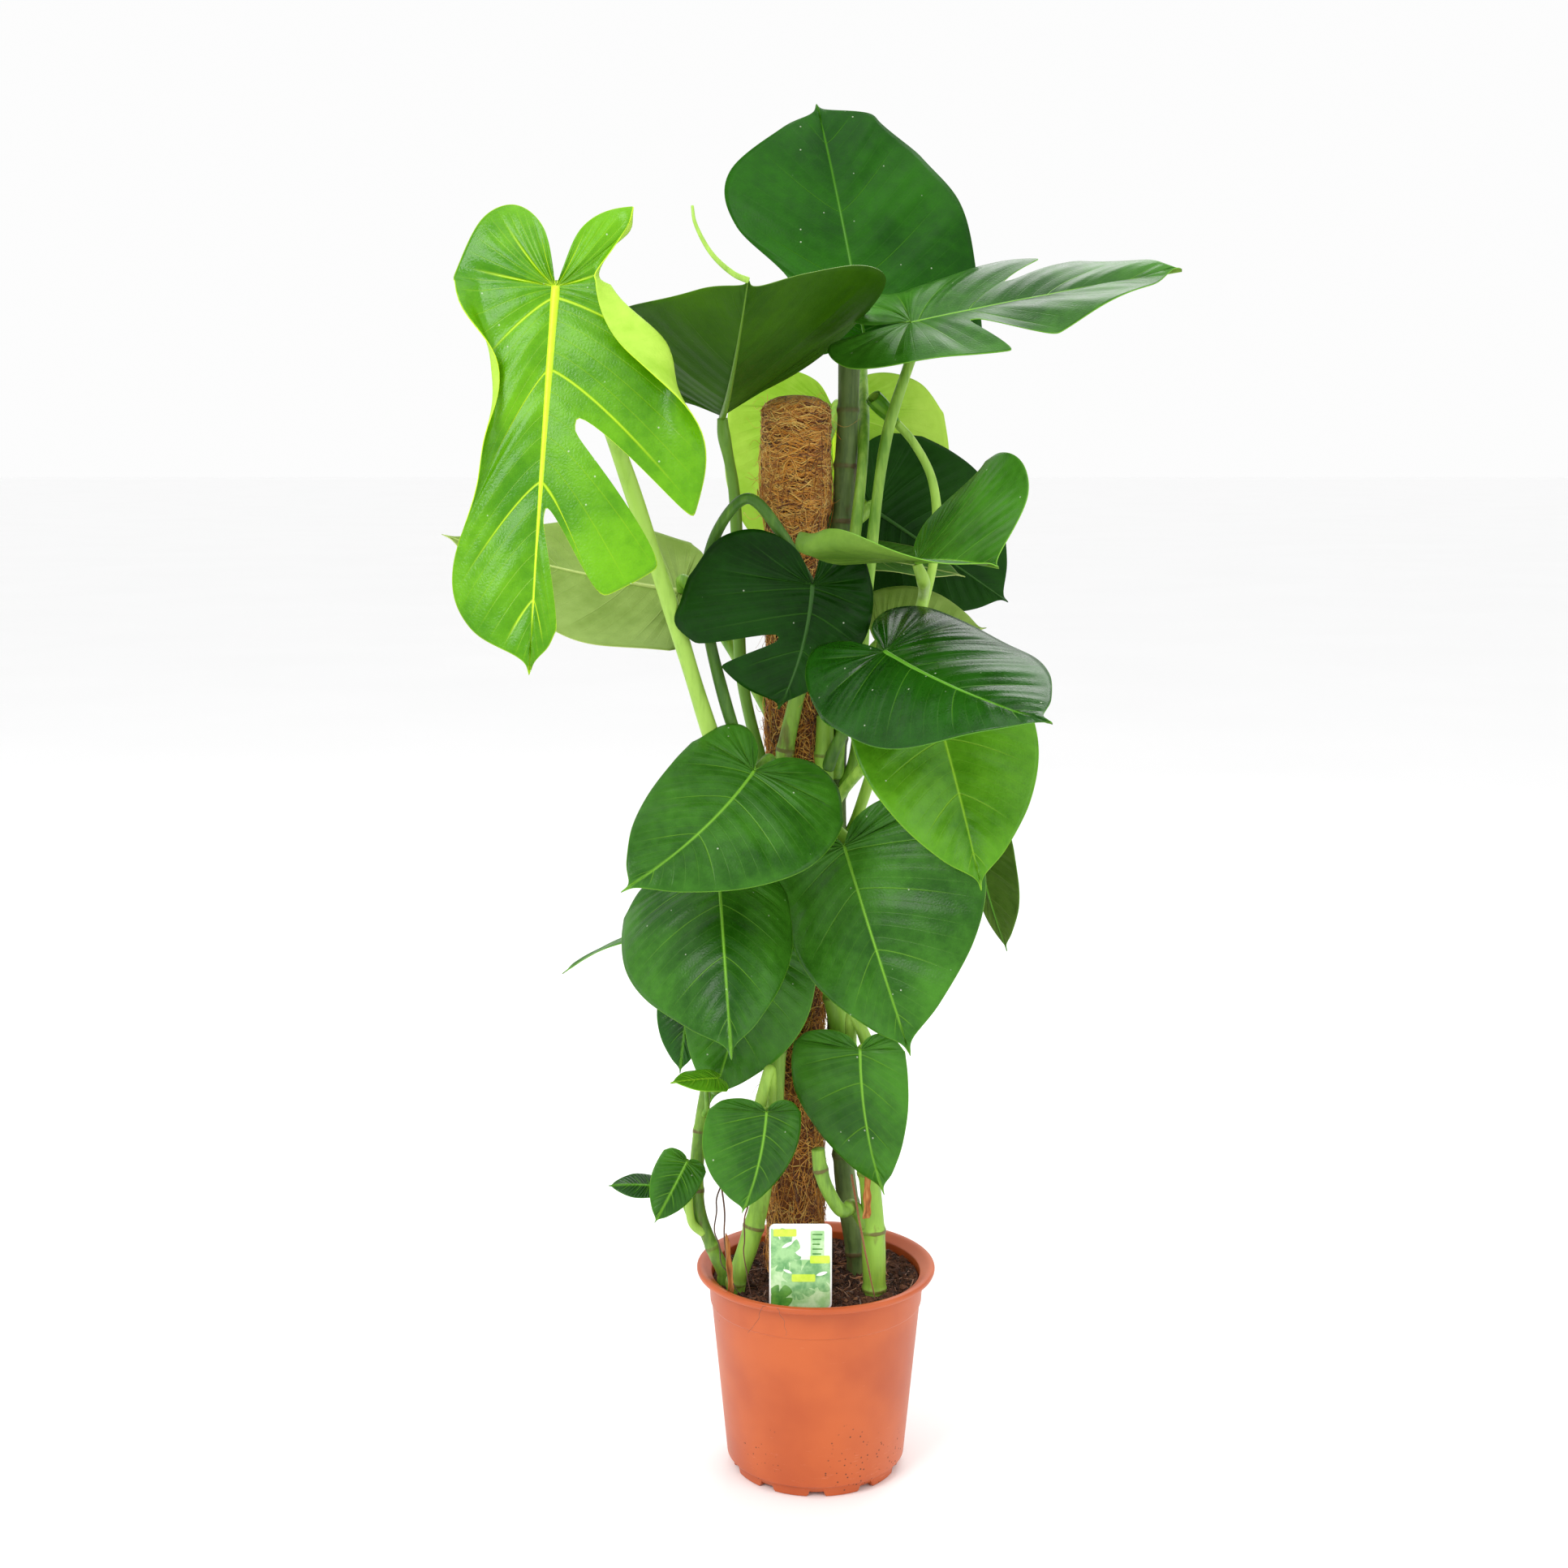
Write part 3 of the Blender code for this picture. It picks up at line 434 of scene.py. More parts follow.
# Stems: base radius, top radius, then route points as height above the soil, compass angle round
# the pole in degrees (-90 is the front) and stand-off from the pole's side.
STEMS = {
    "stem_front": (0.0085, 0.0065, [(0, -139, 0.036), (0.045, -132, 0.026), (0.10, -125, 0.013),
                                    (0.20, -118, 0.001), (0.34, -115, 0), (0.45, -112, 0),
                                    (0.53, -84, 0), (0.58, -68, 0)]),
    "stem_right": (0.0090, 0.0090, [(0, 5, 0.020), (0.10, 0, 0.008), (0.25, 0, 0.001), (0.45, 2, 0),
                                    (0.65, 4, 0), (0.72, 5, 0.004), (0.79, 6, 0.006)]),
    "stem_low_right": (0.0100, 0.0075, [(0, -32, 0.045), (0.10, -32, 0.040), (0.20, -38, 0.022),
                                        (0.30, -44, 0.003), (0.40, -45, 0), (0.50, -42, 0)]),
    "stem_left": (0.0062, 0.0050, [(0, -158, 0.038), (0.03, -160, 0.044), (0.07, -166, 0.056),
                                   (0.14, -172, 0.052), (0.24, -178, 0.030), (0.36, 170, 0.004),
                                   (0.44, 168, 0)]),
    "stem_back": (0.0080, 0.0070, [(0, 95, 0.020), (0.12, 95, 0.006), (0.30, 92, 0.001), (0.50, 90, 0),
                                   (0.70, 88, 0)]),
}

# Petioles: stem, height on it, side of it in degrees, base radius, then the points passed on the way.
PETIOLES = {
    "leaf_top": ("stem_right", 0.45, -84, 0.0050, [(0.026, -0.013, 0.600), (0.038, 0.005, 0.720)]),
    "leaf_under_top": ("stem_front", 0.43, 146, 0.0052, [(-0.063, -0.011, 0.530),
                                                         (-0.066, -0.006, 0.610),
                                                         (-0.070, -0.002, 0.690)]),
    "leaf_lime_split": ("stem_front", 0.37, 200, 0.0070, [(-0.078, -0.050, 0.459),
                                                          (-0.120, -0.075, 0.598),
                                                          (-0.162, -0.102, 0.732)]),
    "leaf_right_split": ("stem_right", 0.44, -26, 0.0050, [(0.041, -0.012, 0.600),
                                                           (0.057, -0.005, 0.731)]),
    "leaf_back_lime": ("stem_back", 0.66, 80, 0.0050, [(0.006, 0.090, 0.72)]),
    "leaf_back_dark": ("stem_back", 0.59, 20, 0.0050, [(0.019, 0.062, 0.640)]),
    "leaf_wavy": ("stem_right", 0.39, 0, 0.0048, [(0.071, -0.021, 0.541), (0.085, -0.056, 0.602)]),
    "leaf_front_split": ("stem_front", 0.41, 197, 0.0050, [(-0.077, -0.060, 0.520),
                                                           (-0.092, -0.057, 0.600),
                                                           (-0.082, -0.059, 0.655),
                                                           (-0.057, -0.064, 0.682),
                                                           (-0.028, -0.067, 0.651)]),
    "leaf_glossy": ("stem_low_right", 0.46, -50, 0.0050, [(0.048, -0.041, 0.540),
                                                          (0.054, -0.066, 0.574)]),
    "leaf_bright_right": ("stem_low_right", 0.42, -20, 0.0050, [(0.062, -0.068, 0.490)]),
    "leaf_mid_left": ("stem_front", 0.41, -100, 0.0048, [(-0.040, -0.062, 0.470)]),
    "leaf_mid_right": ("stem_low_right", 0.34, -90, 0.0052, [(0.016, -0.039, 0.405)]),
    "leaf_far_right": ("stem_right", 0.30, 20, 0.0040, [(0.080, 0.018, 0.37), (0.120, 0.024, 0.395)]),
    "leaf_low_left": ("stem_front", 0.30, -150, 0.0050, [(-0.060, -0.039, 0.375)]),
    "leaf_behind_left": ("stem_left", 0.24, -79, 0.0045, [(-0.070, -0.025, 0.300)]),
    "leaf_heart_low": ("stem_front", 0.14, -100, 0.0050, [(-0.040, -0.060, 0.205)]),
    "leaf_heart_right": ("stem_low_right", 0.20, -70, 0.0050, [(0.030, -0.048, 0.250)]),
    "leaf_heart_left": ("stem_left", 0.05, -140, 0.0035, [(-0.112, -0.026, 0.110)]),
    "leaf_pale_left": ("stem_back", 0.46, 150, 0.0052, [(-0.080, 0.055, 0.56)]),
    "leaf_back_olive": ("stem_back", 0.44, 30, 0.0042, [(0.030, 0.020, 0.532)]),
    "leaf_silver_fold": ("stem_back", 0.51, 22, 0.0040, [(0.014, 0.078, 0.602)]),
}

# Shoots without an open blade: stem, height on it, side of it, base and end radii, points on the way.
SHOOTS = {
    "stem_stub": ("stem_low_right", 0.064, -170, 0.0062, 0.0056, [
        (0.022, -0.046, 0.076), (0.009, -0.048, 0.096), (0.003, -0.048, 0.115), (0.001, -0.048, 0.132)]),
    "petiole_rolled": ("stem_right", 0.42, 55, 0.0042, 0.0034, [(0.084, 0.016, 0.570), (0.100, 0.012, 0.645),
                                                              (0.096, 0.012, 0.695), (0.080, 0.012, 0.726),
                                                              (0.066, 0.012, 0.742)]),
}

# Stalks of the four smallest leaves, given in the same way.
SMALL_STALKS = {
    "leaf_small_dark": ("stem_left", 0.21, 200, 0.0022, [(-0.098, -0.002, 0.262)]),
    "leaf_side_left": ("stem_left", 0.25, 150, 0.0024, [(-0.095, 0.020, 0.300)]),
    "leaf_small_light": ("stem_left", 0.15, -70, 0.0022, [(-0.094, -0.026, 0.184)]),
    "leaf_tiny_left": ("stem_left", 0.05, 180, 0.0018, [(-0.122, -0.018, 0.082)]),
}


# What the looks add to a blade: its finish, and for some the margins that roll over, as side, place
# round the margin, half width of the roll, where it starts between midrib and margin, and its turn
# in degrees; ripple and quilt are heights in millimetres.
LOOKS = {
    "leaf_top": dict(finish="top", ripple=3.0, quilt=2.7, rib=0.8),
    "leaf_under_top": dict(finish="shaded", ripple=3.0, quilt=2.0, rib=1.3),
    "leaf_lime_split": dict(finish="lime", ripple=2.4, quilt=2.4, rib=1.7,
                            rolls=((-1, 0.455, 0.085, 0.62, 165), (-1, 0.26, 0.045, 0.74, 90),
                                   (1, 0.50, 0.07, 0.66, 150))),
    "leaf_right_split": dict(finish="mid", ripple=4.0, quilt=3.4, rolls=((-1, 0.20, 0.09, 0.5, 150),)),
    "leaf_back_lime": dict(finish="lime", ripple=2.0),
    "leaf_back_dark": dict(finish="painted_shade", ripple=3.0),
    "leaf_wavy": dict(finish="mid", ripple=5.0, quilt=2.4, rolls=((1, 0.50, 0.20, 0.80, 130),)),
    "leaf_front_split": dict(finish="painted_shade", quilt=3.1, rib=1.7),
    "leaf_glossy": dict(finish="deep", quilt=3.7, ripple=3.0, rib=1.2),
    "leaf_bright_right": dict(finish="fresh", quilt=3.4, ripple=2.6),
    "leaf_mid_left": dict(finish="mid", quilt=3.1, ripple=2.4),
    "leaf_mid_right": dict(finish="mid", quilt=3.4, ripple=2.6, rib=0.9),
    "leaf_low_left": dict(finish="mid", quilt=3.4, ripple=2.6, rib=0.9),
    "leaf_behind_left": dict(finish="mid", quilt=2.7),
    "leaf_far_right": dict(finish="deep", quilt=3.4),
    "leaf_small_dark": dict(finish="deep"),
    "leaf_side_left": dict(finish="mid"),
    "leaf_small_light": dict(finish="fresh"),
    "leaf_heart_low": dict(finish="mid", quilt=3.1),
    "leaf_heart_right": dict(finish="mid", quilt=3.1),
    "leaf_heart_left": dict(finish="mid", quilt=2.7),
    "leaf_tiny_left": dict(finish="deep"),
    "leaf_pale_left": dict(finish="pale", ripple=2.5, quilt=2.0),
    "leaf_back_olive": dict(finish="pale"),
    "leaf_silver_fold": dict(finish="pale"),
}



# ---------------------------------------------------------------- leaf finishes

# Upper side dark and light, under side dark and light, vein on the upper side.
FINISHES = {key: [tone(*colour) for colour in colours] for key, colours in {
    "deep": ((8, 48, 2), (34, 96, 10), (66, 100, 24), (108, 142, 56), (92, 158, 30)),
    "mid": ((26, 78, 4), (74, 140, 34), (76, 118, 26), (124, 162, 60), (118, 180, 44)),
    "fresh": ((38, 104, 0), (108, 176, 34), (100, 150, 26), (156, 198, 70), (150, 208, 44)),
    "top": ((14, 66, 0), (38, 104, 0), (70, 108, 14), (128, 162, 62), (66, 128, 4)),
    # lime: a light yellow-green leaf, its colours brightened further as painted light shining through it from
    # behind.
    "lime": ((60, 128, 0), (116, 184, 10), (150, 200, 48), (196, 232, 92), (206, 244, 40)),
    "shaded": ((20, 62, 0), (46, 96, 0), (40, 82, 0), (64, 110, 0), (92, 134, 20)),
    "pale": ((46, 92, 10), (78, 132, 36), (120, 150, 58), (160, 188, 98), (184, 204, 116)),
    # The finish on this row is painted shade: dark colours on both sides, for leaves that sit in shade.
    "painted_shade": ((6, 40, 0), (24, 76, 4), (10, 50, 2), (30, 80, 8), (46, 94, 20)),
}.items()}


def leaf_finish(name, dark, light, rib, vein_strength, vein_width, gloss, shine, under):
    """Colour runs from dark to light with slow noise; veins, midrib, margin and dust lie over it."""
    paint = Paint(name, Specular_IOR_Level=shine, IOR=1.42)
    u, span = paint.attribute("vein_u"), paint.attribute("vein_span")
    middle, edge, v = paint.attribute("from_midrib"), paint.attribute("from_margin"), paint.attribute("out")
    broad = paint.noise(9.0, 3.0, 0.6)
    fine = paint.noise(120.0, 4.0, 0.6)
    cells = paint.node("TexVoronoi", {"Vector": paint.place, "Scale": 340.0}, feature="DISTANCE_TO_EDGE")

    def veins(count, width):
        """1 on lines from midrib to margin, count of them to a half, width in metres."""
        turns = u * count
        off = paint.node("Math", {0: turns, 1: 1.0}, operation="PINGPONG")
        near = off.maths("MINIMUM", 1.0 - off)
        return paint.fall(near * span / count, width * 0.25, width)

    main = veins(8.0, vein_width) * paint.fall(v, 0.35, 0.88)
    ridge = paint.node("Math", {0: u * (2 * pi * 26)}, operation="SINE") * paint.fall(v, 0.75, 1.0)
    minor = veins(40.0, 0.0006) * paint.fall(v, 0.7, 1.05)
    mottle = broad + (fine - 0.5) * 0.30 + paint.rise(v, 0.0, 1.0) * 0.10
    body = paint.blend(paint.rise(mottle, 0.30, 0.85), dark, light)
    body = paint.blend(minor * (0.14 * vein_strength), body, rib)
    body = paint.blend(main * (0.75 * vein_strength), body, rib)
    body = paint.blend(paint.fall(middle, 0.0004, 0.0020) * 0.8, body, rib)
    body = paint.blend(paint.fall(edge, 0.0002, 0.0009) * 0.5, body, rib)
    roughness = (fine - 0.5) * 0.22 + (broad - 0.5) * 0.16 + gloss
    if not under:
        speck, chance = (paint.node("TexVoronoi", {"Vector": paint.place, "Scale": 150.0}, out=key)
                         for key in ("Distance", "Color"))
        rare = paint.node("SeparateColor", {"Color": chance}) > 0.93
        dust = paint.fall(speck, 0.06, 0.14) * rare
        body = paint.blend(dust * 0.7, body, tone(215, 225, 200))
        roughness = roughness + dust * 0.4
    deep, shallow = (0.9, 0.25) if under else (-0.7, -0.16)
    relief = main * deep + minor * shallow + cells * 0.4 + fine * 0.12
    material = paint.finish(body, roughness, relief + ridge * 0.45, 0.0009, 0.6)
    through = paint.node("BsdfTranslucent", {"Color": tuple(1.15 * c for c in light)})
    cover = paint.node("MixShader", {0: 0.20, 1: Signal(paint, paint.shader.outputs[0]), 2: through})
    paint.join(cover, paint.tree.nodes["Material Output"].inputs["Surface"])
    return material


# Roughness and specular level of the upper side, width and strength of its veins.
SHINE = {"deep": (0.27, 0.40, 0.0009, 0.6), "mid": (0.34, 0.34, 0.0009, 0.6), "fresh": (0.32, 0.36, 0.0010, 0.7),
         "top": (0.42, 0.18, 0.0008, 0.6), "lime": (0.27, 0.40, 0.0017, 1.0), "shaded": (0.5, 0.2, 0.0008, 0.5),
         "pale": (0.5, 0.2, 0.0009, 0.6), "painted_shade": (0.36, 0.20, 0.0011, 0.9)}

leaf_paints = {}
for key, (dark, light, under_dark, under_light, rib) in FINISHES.items():
    gloss, shine, width, strength = SHINE[key]
    leaf_paints[key] = (
        leaf_finish(f"leaf_{key}_upper", dark, light, rib, strength, width, gloss, shine, False),
        leaf_finish(f"leaf_{key}_under", under_dark, under_light, under_light, 0.8, 0.0010, 0.56, 0.2, True))


def rib_finish(name, colour):
    paint = Paint(name, IOR=1.4)
    streak = paint.noise(260.0, 3.0, 0.5)
    return paint.finish(paint.blend(streak * 0.5, colour, tuple(0.6 * c for c in colour)),
                        streak * 0.2 + 0.34, streak, 0.0003, 0.4)


rib_paints = {key: rib_finish(f"midrib_{key}", values[4]) for key, values in FINISHES.items()}


# ---------------------------------------------------------------- leaf blades

def through(points, t):
    """Catmull-Rom curve through points, for t from 0 to 1."""
    p = np.asarray(points, float)
    n = len(p) - 1
    k = np.minimum((t * n).astype(int), n - 1)
    f = (t * n - k)[:, None]
    padded = np.vstack([2 * p[0] - p[1], p, 2 * p[-1] - p[-2]])
    a, b, c, d = (padded[k + i] for i in range(4))
    return 0.5 * (2 * b + (c - a) * f + (2 * a - 5 * b + 4 * c - d) * f**2 + (3 * b - a - 3 * c + d) * f**3)


def axes_of(aim):
    """Columns: across to the right, along the midrib, and out of the upper side."""
    heading, rise, roll = np.radians(aim)
    along = np.array([cos(rise) * cos(heading), cos(rise) * sin(heading), sin(rise)])
    up = np.array([-sin(rise) * cos(heading), -sin(rise) * sin(heading), cos(rise)])
    across = np.cross(along, up)
    return np.stack([cos(roll) * across - sin(roll) * up, along, cos(roll) * up + sin(roll) * across], 1)


def blade_half(values, look, side, us, vs, phases):
    """Half a blade: us run round the margin from stalk to tip, vs from midrib to margin.

    Each u is a vein from its root on the midrib to the margin; the half is bent about the midrib
    by fold, cup and any rolled margin, then the whole about the stalk by droop. Ripple waves the
    margin, and quilt lifts the blade between its veins.
    """
    length, left, right = values["size"]
    width = left if side < 0 else right
    margin = through(MARGIN, us)
    share = through([(s,) for s in values["wide"][side > 0]], us)
    root = np.clip(through(VEIN_ROOT, us)[:, 0], 0, 1) * length
    ahead = margin[:, 1] + values["full"] * margin[:, 1] * (1 - margin[:, 1])
    reach = np.where(margin[:, 1] < 0, margin[:, 1] * values["lobe"], ahead) * length
    whole = np.ones_like(us)
    for slit_side, place, depth, half_width in values["slits"]:
        if slit_side == side:
            whole = whole - depth * np.exp(-((us - place) / half_width) ** 4)
    v = whole[:, None] * vs[None, :]
    flat_x = margin[:, :1] * share * width * v**0.95
    curl = np.zeros_like(flat_x)
    for roll_side, place, half_width, start, turn in look.get("rolls", ()):
        if roll_side == side:
            near = np.exp(-(((us - place) / half_width) ** 2))[:, None]
            over = np.clip((vs - start) / ROLL_SPAN, 0, 1)
            flat_x = flat_x * (1 + (1 - start) * near)
            curl = curl + turn * near * over * over * (3 - 2 * over)
    y = root[:, None] + (reach - root)[:, None] * v**1.2
    angle = np.radians(values["fold"] + values["cup"] * flat_x / width + curl)
    middle = (angle[:, 1:] + angle[:, :-1]) / 2
    step = np.diff(flat_x, axis=1)
    start = np.zeros_like(flat_x[:, :1])
    x = np.concatenate([start, np.cumsum(step * np.cos(middle), axis=1)], axis=1)
    z = np.concatenate([start, np.cumsum(step * np.sin(middle), axis=1)], axis=1)
    calm = np.sin(pi * np.clip(us, 0, 1))[:, None] ** 0.5
    a, b, c = phases
    ripple, quilt = 0.001 * look.get("ripple", 2.0), 0.001 * look.get("quilt", 1.4)
    z = z + ripple * (length / 0.2) * calm * v**2 * np.sin(2 * pi * (3.3 + side * 0.4) * us[:, None] + a)
    z = z + ripple * 0.6 * v * np.sin(26 * y + 18 * side * flat_x + b)
    z = z + quilt * (length / 0.2) * abs(np.sin(pi * 8 * us[:, None])) * 4 * v * (1 - v) * calm
    x = side * x + radians(values["sweep"]) * y * y / length / 2
    bend = radians(values["droop"]) * y / length
    along = y * np.cos(bend / 2) + z * np.sin(bend)
    out = -y * np.sin(bend / 2) + z * np.cos(bend)
    out = out + 0.0012 * np.sin(14 * y + c)
    at = np.add(values["at"], (0, 0, SOIL_TOP))
    return np.stack([x, along, out], axis=-1) @ axes_of(values["aim"]).T + at, v


def leaf_stations(values, count):
    """Places round the margin, denser towards each slit."""
    us = np.linspace(0, 1, 4001)
    weight = np.ones_like(us)
    for _, place, _, half_width in values["slits"]:
        weight += 5 * np.exp(-((np.abs(us - place) - half_width) / (0.5 * half_width)) ** 2)
    total = np.concatenate([[0], np.cumsum((weight[1:] + weight[:-1]) / 2)])
    return np.interp(np.linspace(0, total[-1], count), total, us)


def nearest(points, others):
    """Distance from each point to the nearest of others, in blocks."""
    blocks = np.array_split(points, max(1, len(points) // 1500))
    return np.concatenate([np.sqrt(((b[:, None] - others[None]) ** 2).sum(-1).min(1)) for b in blocks])


def leaf_blade(name, values, look):
    size = values["size"][0]
    big = size > 0.12
    rows, columns = (150, 21) if big else (96, 15)
    if "rolls" in look:
        rows, columns = 190, 35
    us = leaf_stations(values, rows)
    vs = np.linspace(0, 1, columns)
    phases = rng.uniform(0, 2 * pi, 3)
    points, quads, halves = [], [], []
    for k, side in enumerate((-1, 1)):
        grid, v = blade_half(values, look, side, us, vs, phases)
        span = np.linalg.norm(np.gradient(grid, us, axis=0), axis=2)
        flat = grid.reshape(-1, 3)
        faces = grid_faces(rows, columns) + k * rows * columns
        points.append(flat)
        quads.append(faces if side > 0 else faces[:, ::-1])
        halves.append({"vein_u": np.broadcast_to(us[:, None], v.shape).ravel(), "vein_span": span.ravel(),
                       "from_midrib": nearest(flat, grid[:, 0]), "from_margin": nearest(flat, grid[:, -1]),
                       "out": v.ravel()})
        rib = grid[:, 0]
    data = {key: np.concatenate([half[key] for half in halves]) for key in halves[0]}
    points, faces, data = welded(np.concatenate(points), np.concatenate(quads), data)
    finish = look.get("finish", values["green"])
    upper, under = leaf_paints[finish]
    made = piece(name, points, faces, [upper, under, rib_paints[finish]],
                 (name,), data)
    thicken(made, 0.0007 if big else 0.0006, 1, 2)
    share = np.linspace(0, 1, len(rib))
    reach = travelled(rib)
    line = np.stack([np.interp(share * reach[-1], reach, rib[:, k]) for k in range(3)], 1)
    line = line[:int(0.985 * len(rib))]
    thick = 0.0019 * (size / 0.2) ** 0.6 * (1 - share[:len(line)]) ** 1.1 + 0.00025
    thick = thick * look.get("rib", 1.0)
    line = line - axes_of(values["aim"])[:, 2] * (0.45 * thick)[:, None]
    strands(name.replace("leaf", "midrib"), [line[::2]], [thick[::2]], [0.5], rib_paints[finish],
            sides=10)


for name, values in LEAVES.items():
    if name != "dry_sheath":
        leaf_blade(name, values, LOOKS[name])


# ---------------------------------------------------------------- stems and stalks

def stalk_finish(name, low, high, scar, ring_every, ring_width, gloss=0.36):
    """Long streaks of two greens, with a darker ring at each node of a stem."""
    paint = Paint(name, IOR=1.42, Coat_Weight=0.06)
    along, shade = paint.attribute("along"), paint.attribute("shade")
    streak = paint.noise(170.0, 4.0, 0.6, stretch=(1.0, 1.0, 0.14))
    patch = paint.noise(26.0, 3.0, 0.6)
    grain = paint.noise(520.0, 3.0, 0.6)
    colour = paint.blend(paint.rise(streak * 0.55 + patch * 0.35 + shade * 0.3, 0.36, 0.78), low, high)
    relief = streak * 0.5 + grain * 0.2
    if ring_every:
        ring = paint.fall(paint.folded(along / ring_every + shade) * ring_every, ring_width * 0.3, ring_width)
        bark = paint.rise(paint.noise(42.0, 4.0, 0.65, stretch=(1.0, 1.0, 0.35)) + ring * 0.15, 0.60, 0.72)
        colour = paint.blend(ring * 0.45, colour, scar)
        colour = paint.blend(bark * 0.75, colour, scar)
        relief = relief + ring * 0.6 + bark * 0.5
    return paint.finish(colour, grain * 0.25 + gloss, relief, 0.0007, 0.5)


stem_paint = stalk_finish("stem_skin", tone(74, 112, 34), tone(140, 184, 62), tone(96, 78, 40), 0.052, 0.0022)
upper_stem_paint = stalk_finish("stem_skin_old", tone(52, 74, 30), tone(110, 132, 70), tone(92, 72, 44),
                                0.046, 0.0030, 0.5)
petiole_paint = stalk_finish("stalk_skin", tone(88, 140, 26), tone(166, 206, 84), tone(120, 120, 50), 0, 0)
# A darker copy of the stalk skin: painted shade for the stalks under the shaded leaves.
painted_shade_petiole_paint = stalk_finish("stalk_skin_painted_shade", tone(54, 98, 16), tone(106, 150, 48), tone(90, 90, 40),
                                  0, 0)


def stem_route(base_radius, top_radius, points):
    """The stem's own points, each held clear of the pole's side and of the rim."""
    route = []
    top = points[-1][0]
    for height, angle, stand_off in points:
        radius = base_radius + (top_radius - base_radius) * height / top
        pole = POLE_RADIUS if SOIL_TOP + height < POLE_TOP - POLE_HEAD_LENGTH - 0.03 else POLE_HEAD_RADIUS
        away = pole + radius + 3 * GAP + stand_off
        spot = np.array([POLE_X + away * cos(radians(angle)), POLE_Y + away * sin(radians(angle))])
        if height < 0.02:
            spot *= min(1, (SOIL_RADIUS - radius - 0.0014) / np.hypot(*spot))
        route.append((*spot, SOIL_TOP + height, radius))
    ground = np.add(route[0], (0, 0, 3 * GAP, 0))
    foot = [ground + (0, 0, lift, 0) for lift in (-BURIED, STEM_FOOT / 2, STEM_FOOT)]
    return [*foot, *route[1:]]


def leave_stem(stem, height, side, radius):
    """The first two points of a shoot, one inside the stem and one a little higher, close beside it."""
    dense = smoothed(STEM_ROUTES[stem], 200)
    k = int(np.argmin(abs(dense[:, 2] - SOIL_TOP - height)))
    away = dense[k, 3] + radius + 3 * GAP
    out = np.array([cos(radians(side)), sin(radians(side)), 0])
    along = dense[k + 4, :3] - dense[k, :3]
    along /= np.linalg.norm(along)
    out = out - along * (out @ along)
    root = dense[k, :3] + ROOTED * dense[k, 3] * out - radius * along
    return [root, dense[k, :3] + away * out + 2.5 * radius * along]


def tapered(route, first, last):
    share = np.linspace(0, 1, len(route)) ** 2
    return [(*point, first + (last - first) * s) for point, s in zip(route, share)]


def above_soil(points):
    return [np.add(point, (0, 0, SOIL_TOP)) for point in points]


def petiole_route(stem, height, side, radius, points, values):
    """From the stem, by way of points, to just under the blade."""
    normal = axes_of(values["aim"])[:, 2]
    end_radius = STALK_END * radius
    end = np.add(values["at"], (0, 0, SOIL_TOP)) - normal * (end_radius * 0.6)
    route = [*leave_stem(stem, height, side, radius), *above_soil(points), end - STALK_APPROACH * normal, end]
    return tapered(route, radius, end_radius)


def shoot_route(stem, height, side, radius, end_radius, points):
    return tapered(leave_stem(stem, height, side, radius) + above_soil(points), radius, end_radius)


def stalk(name, route, finish, replaces, swelling=0.0, rings=0.0, sides=16, steps=96):
    """A round stalk along route. Its last part swells under a blade; a stem swells at its nodes."""
    dense = smoothed(route, steps)
    length = travelled(dense[:, :3])
    shade = rng.uniform(0, 1)
    radius = dense[:, 3] * (1 + 0.05 * np.sin(length * 60 + shade * 6))
    radius = radius * (1 + swelling * np.exp(-(((length[-1] - length) - 0.016) / 0.012) ** 2))
    radius = radius * (1 + 0.25 * np.exp(-((length / 0.012) ** 2)) * (swelling > 0))
    if rings:
        off = (length / rings + shade) % 1
        off = np.minimum(off, 1 - off) * rings
        radius = radius * (1 + 0.13 * np.exp(-((off / 0.0035) ** 2)))
    return strands(name, [dense[:, :3]], [radius], [shade], finish, sides, replaces)


STEM_ROUTES = {name: stem_route(*values) for name, values in STEMS.items()}
for name, route in STEM_ROUTES.items():
    old = name in ("stem_right", "stem_back")
    stalk(name, route, upper_stem_paint if old else stem_paint, (name,), rings=0.046 if old else 0.052,
          sides=20, steps=420)

for name, values in PETIOLES.items():
    # These three stalks take the darker copy of the stalk skin as painted shade.
    shaded = name in ("leaf_front_split", "leaf_under_top", "leaf_glossy")
    made = name.replace("leaf", "petiole")
    stalk(made, petiole_route(*values, LEAVES[name]), painted_shade_petiole_paint if shaded else petiole_paint,
          (made,), swelling=0.22)

for name, values in SHOOTS.items():
    route = shoot_route(*values)
    stump = "stem" in name
    stalk(name, route, stem_paint if stump else petiole_paint, (name,), rings=0.052 if stump else 0,
          sides=18)

for name, (stem, height, side, radius, points) in SMALL_STALKS.items():
    stalk(name.replace("leaf", "petiole"), petiole_route(stem, height, side, radius, points, LEAVES[name]),
          petiole_paint, (), swelling=0.2, sides=10, steps=50)


# ---------------------------------------------------------------- the leaf that is still rolled up

rolled_route = smoothed(shoot_route(*SHOOTS["petiole_rolled"]), 12)
heading = rolled_route[-1, :3] - rolled_route[-2, :3]
heading /= np.linalg.norm(heading)


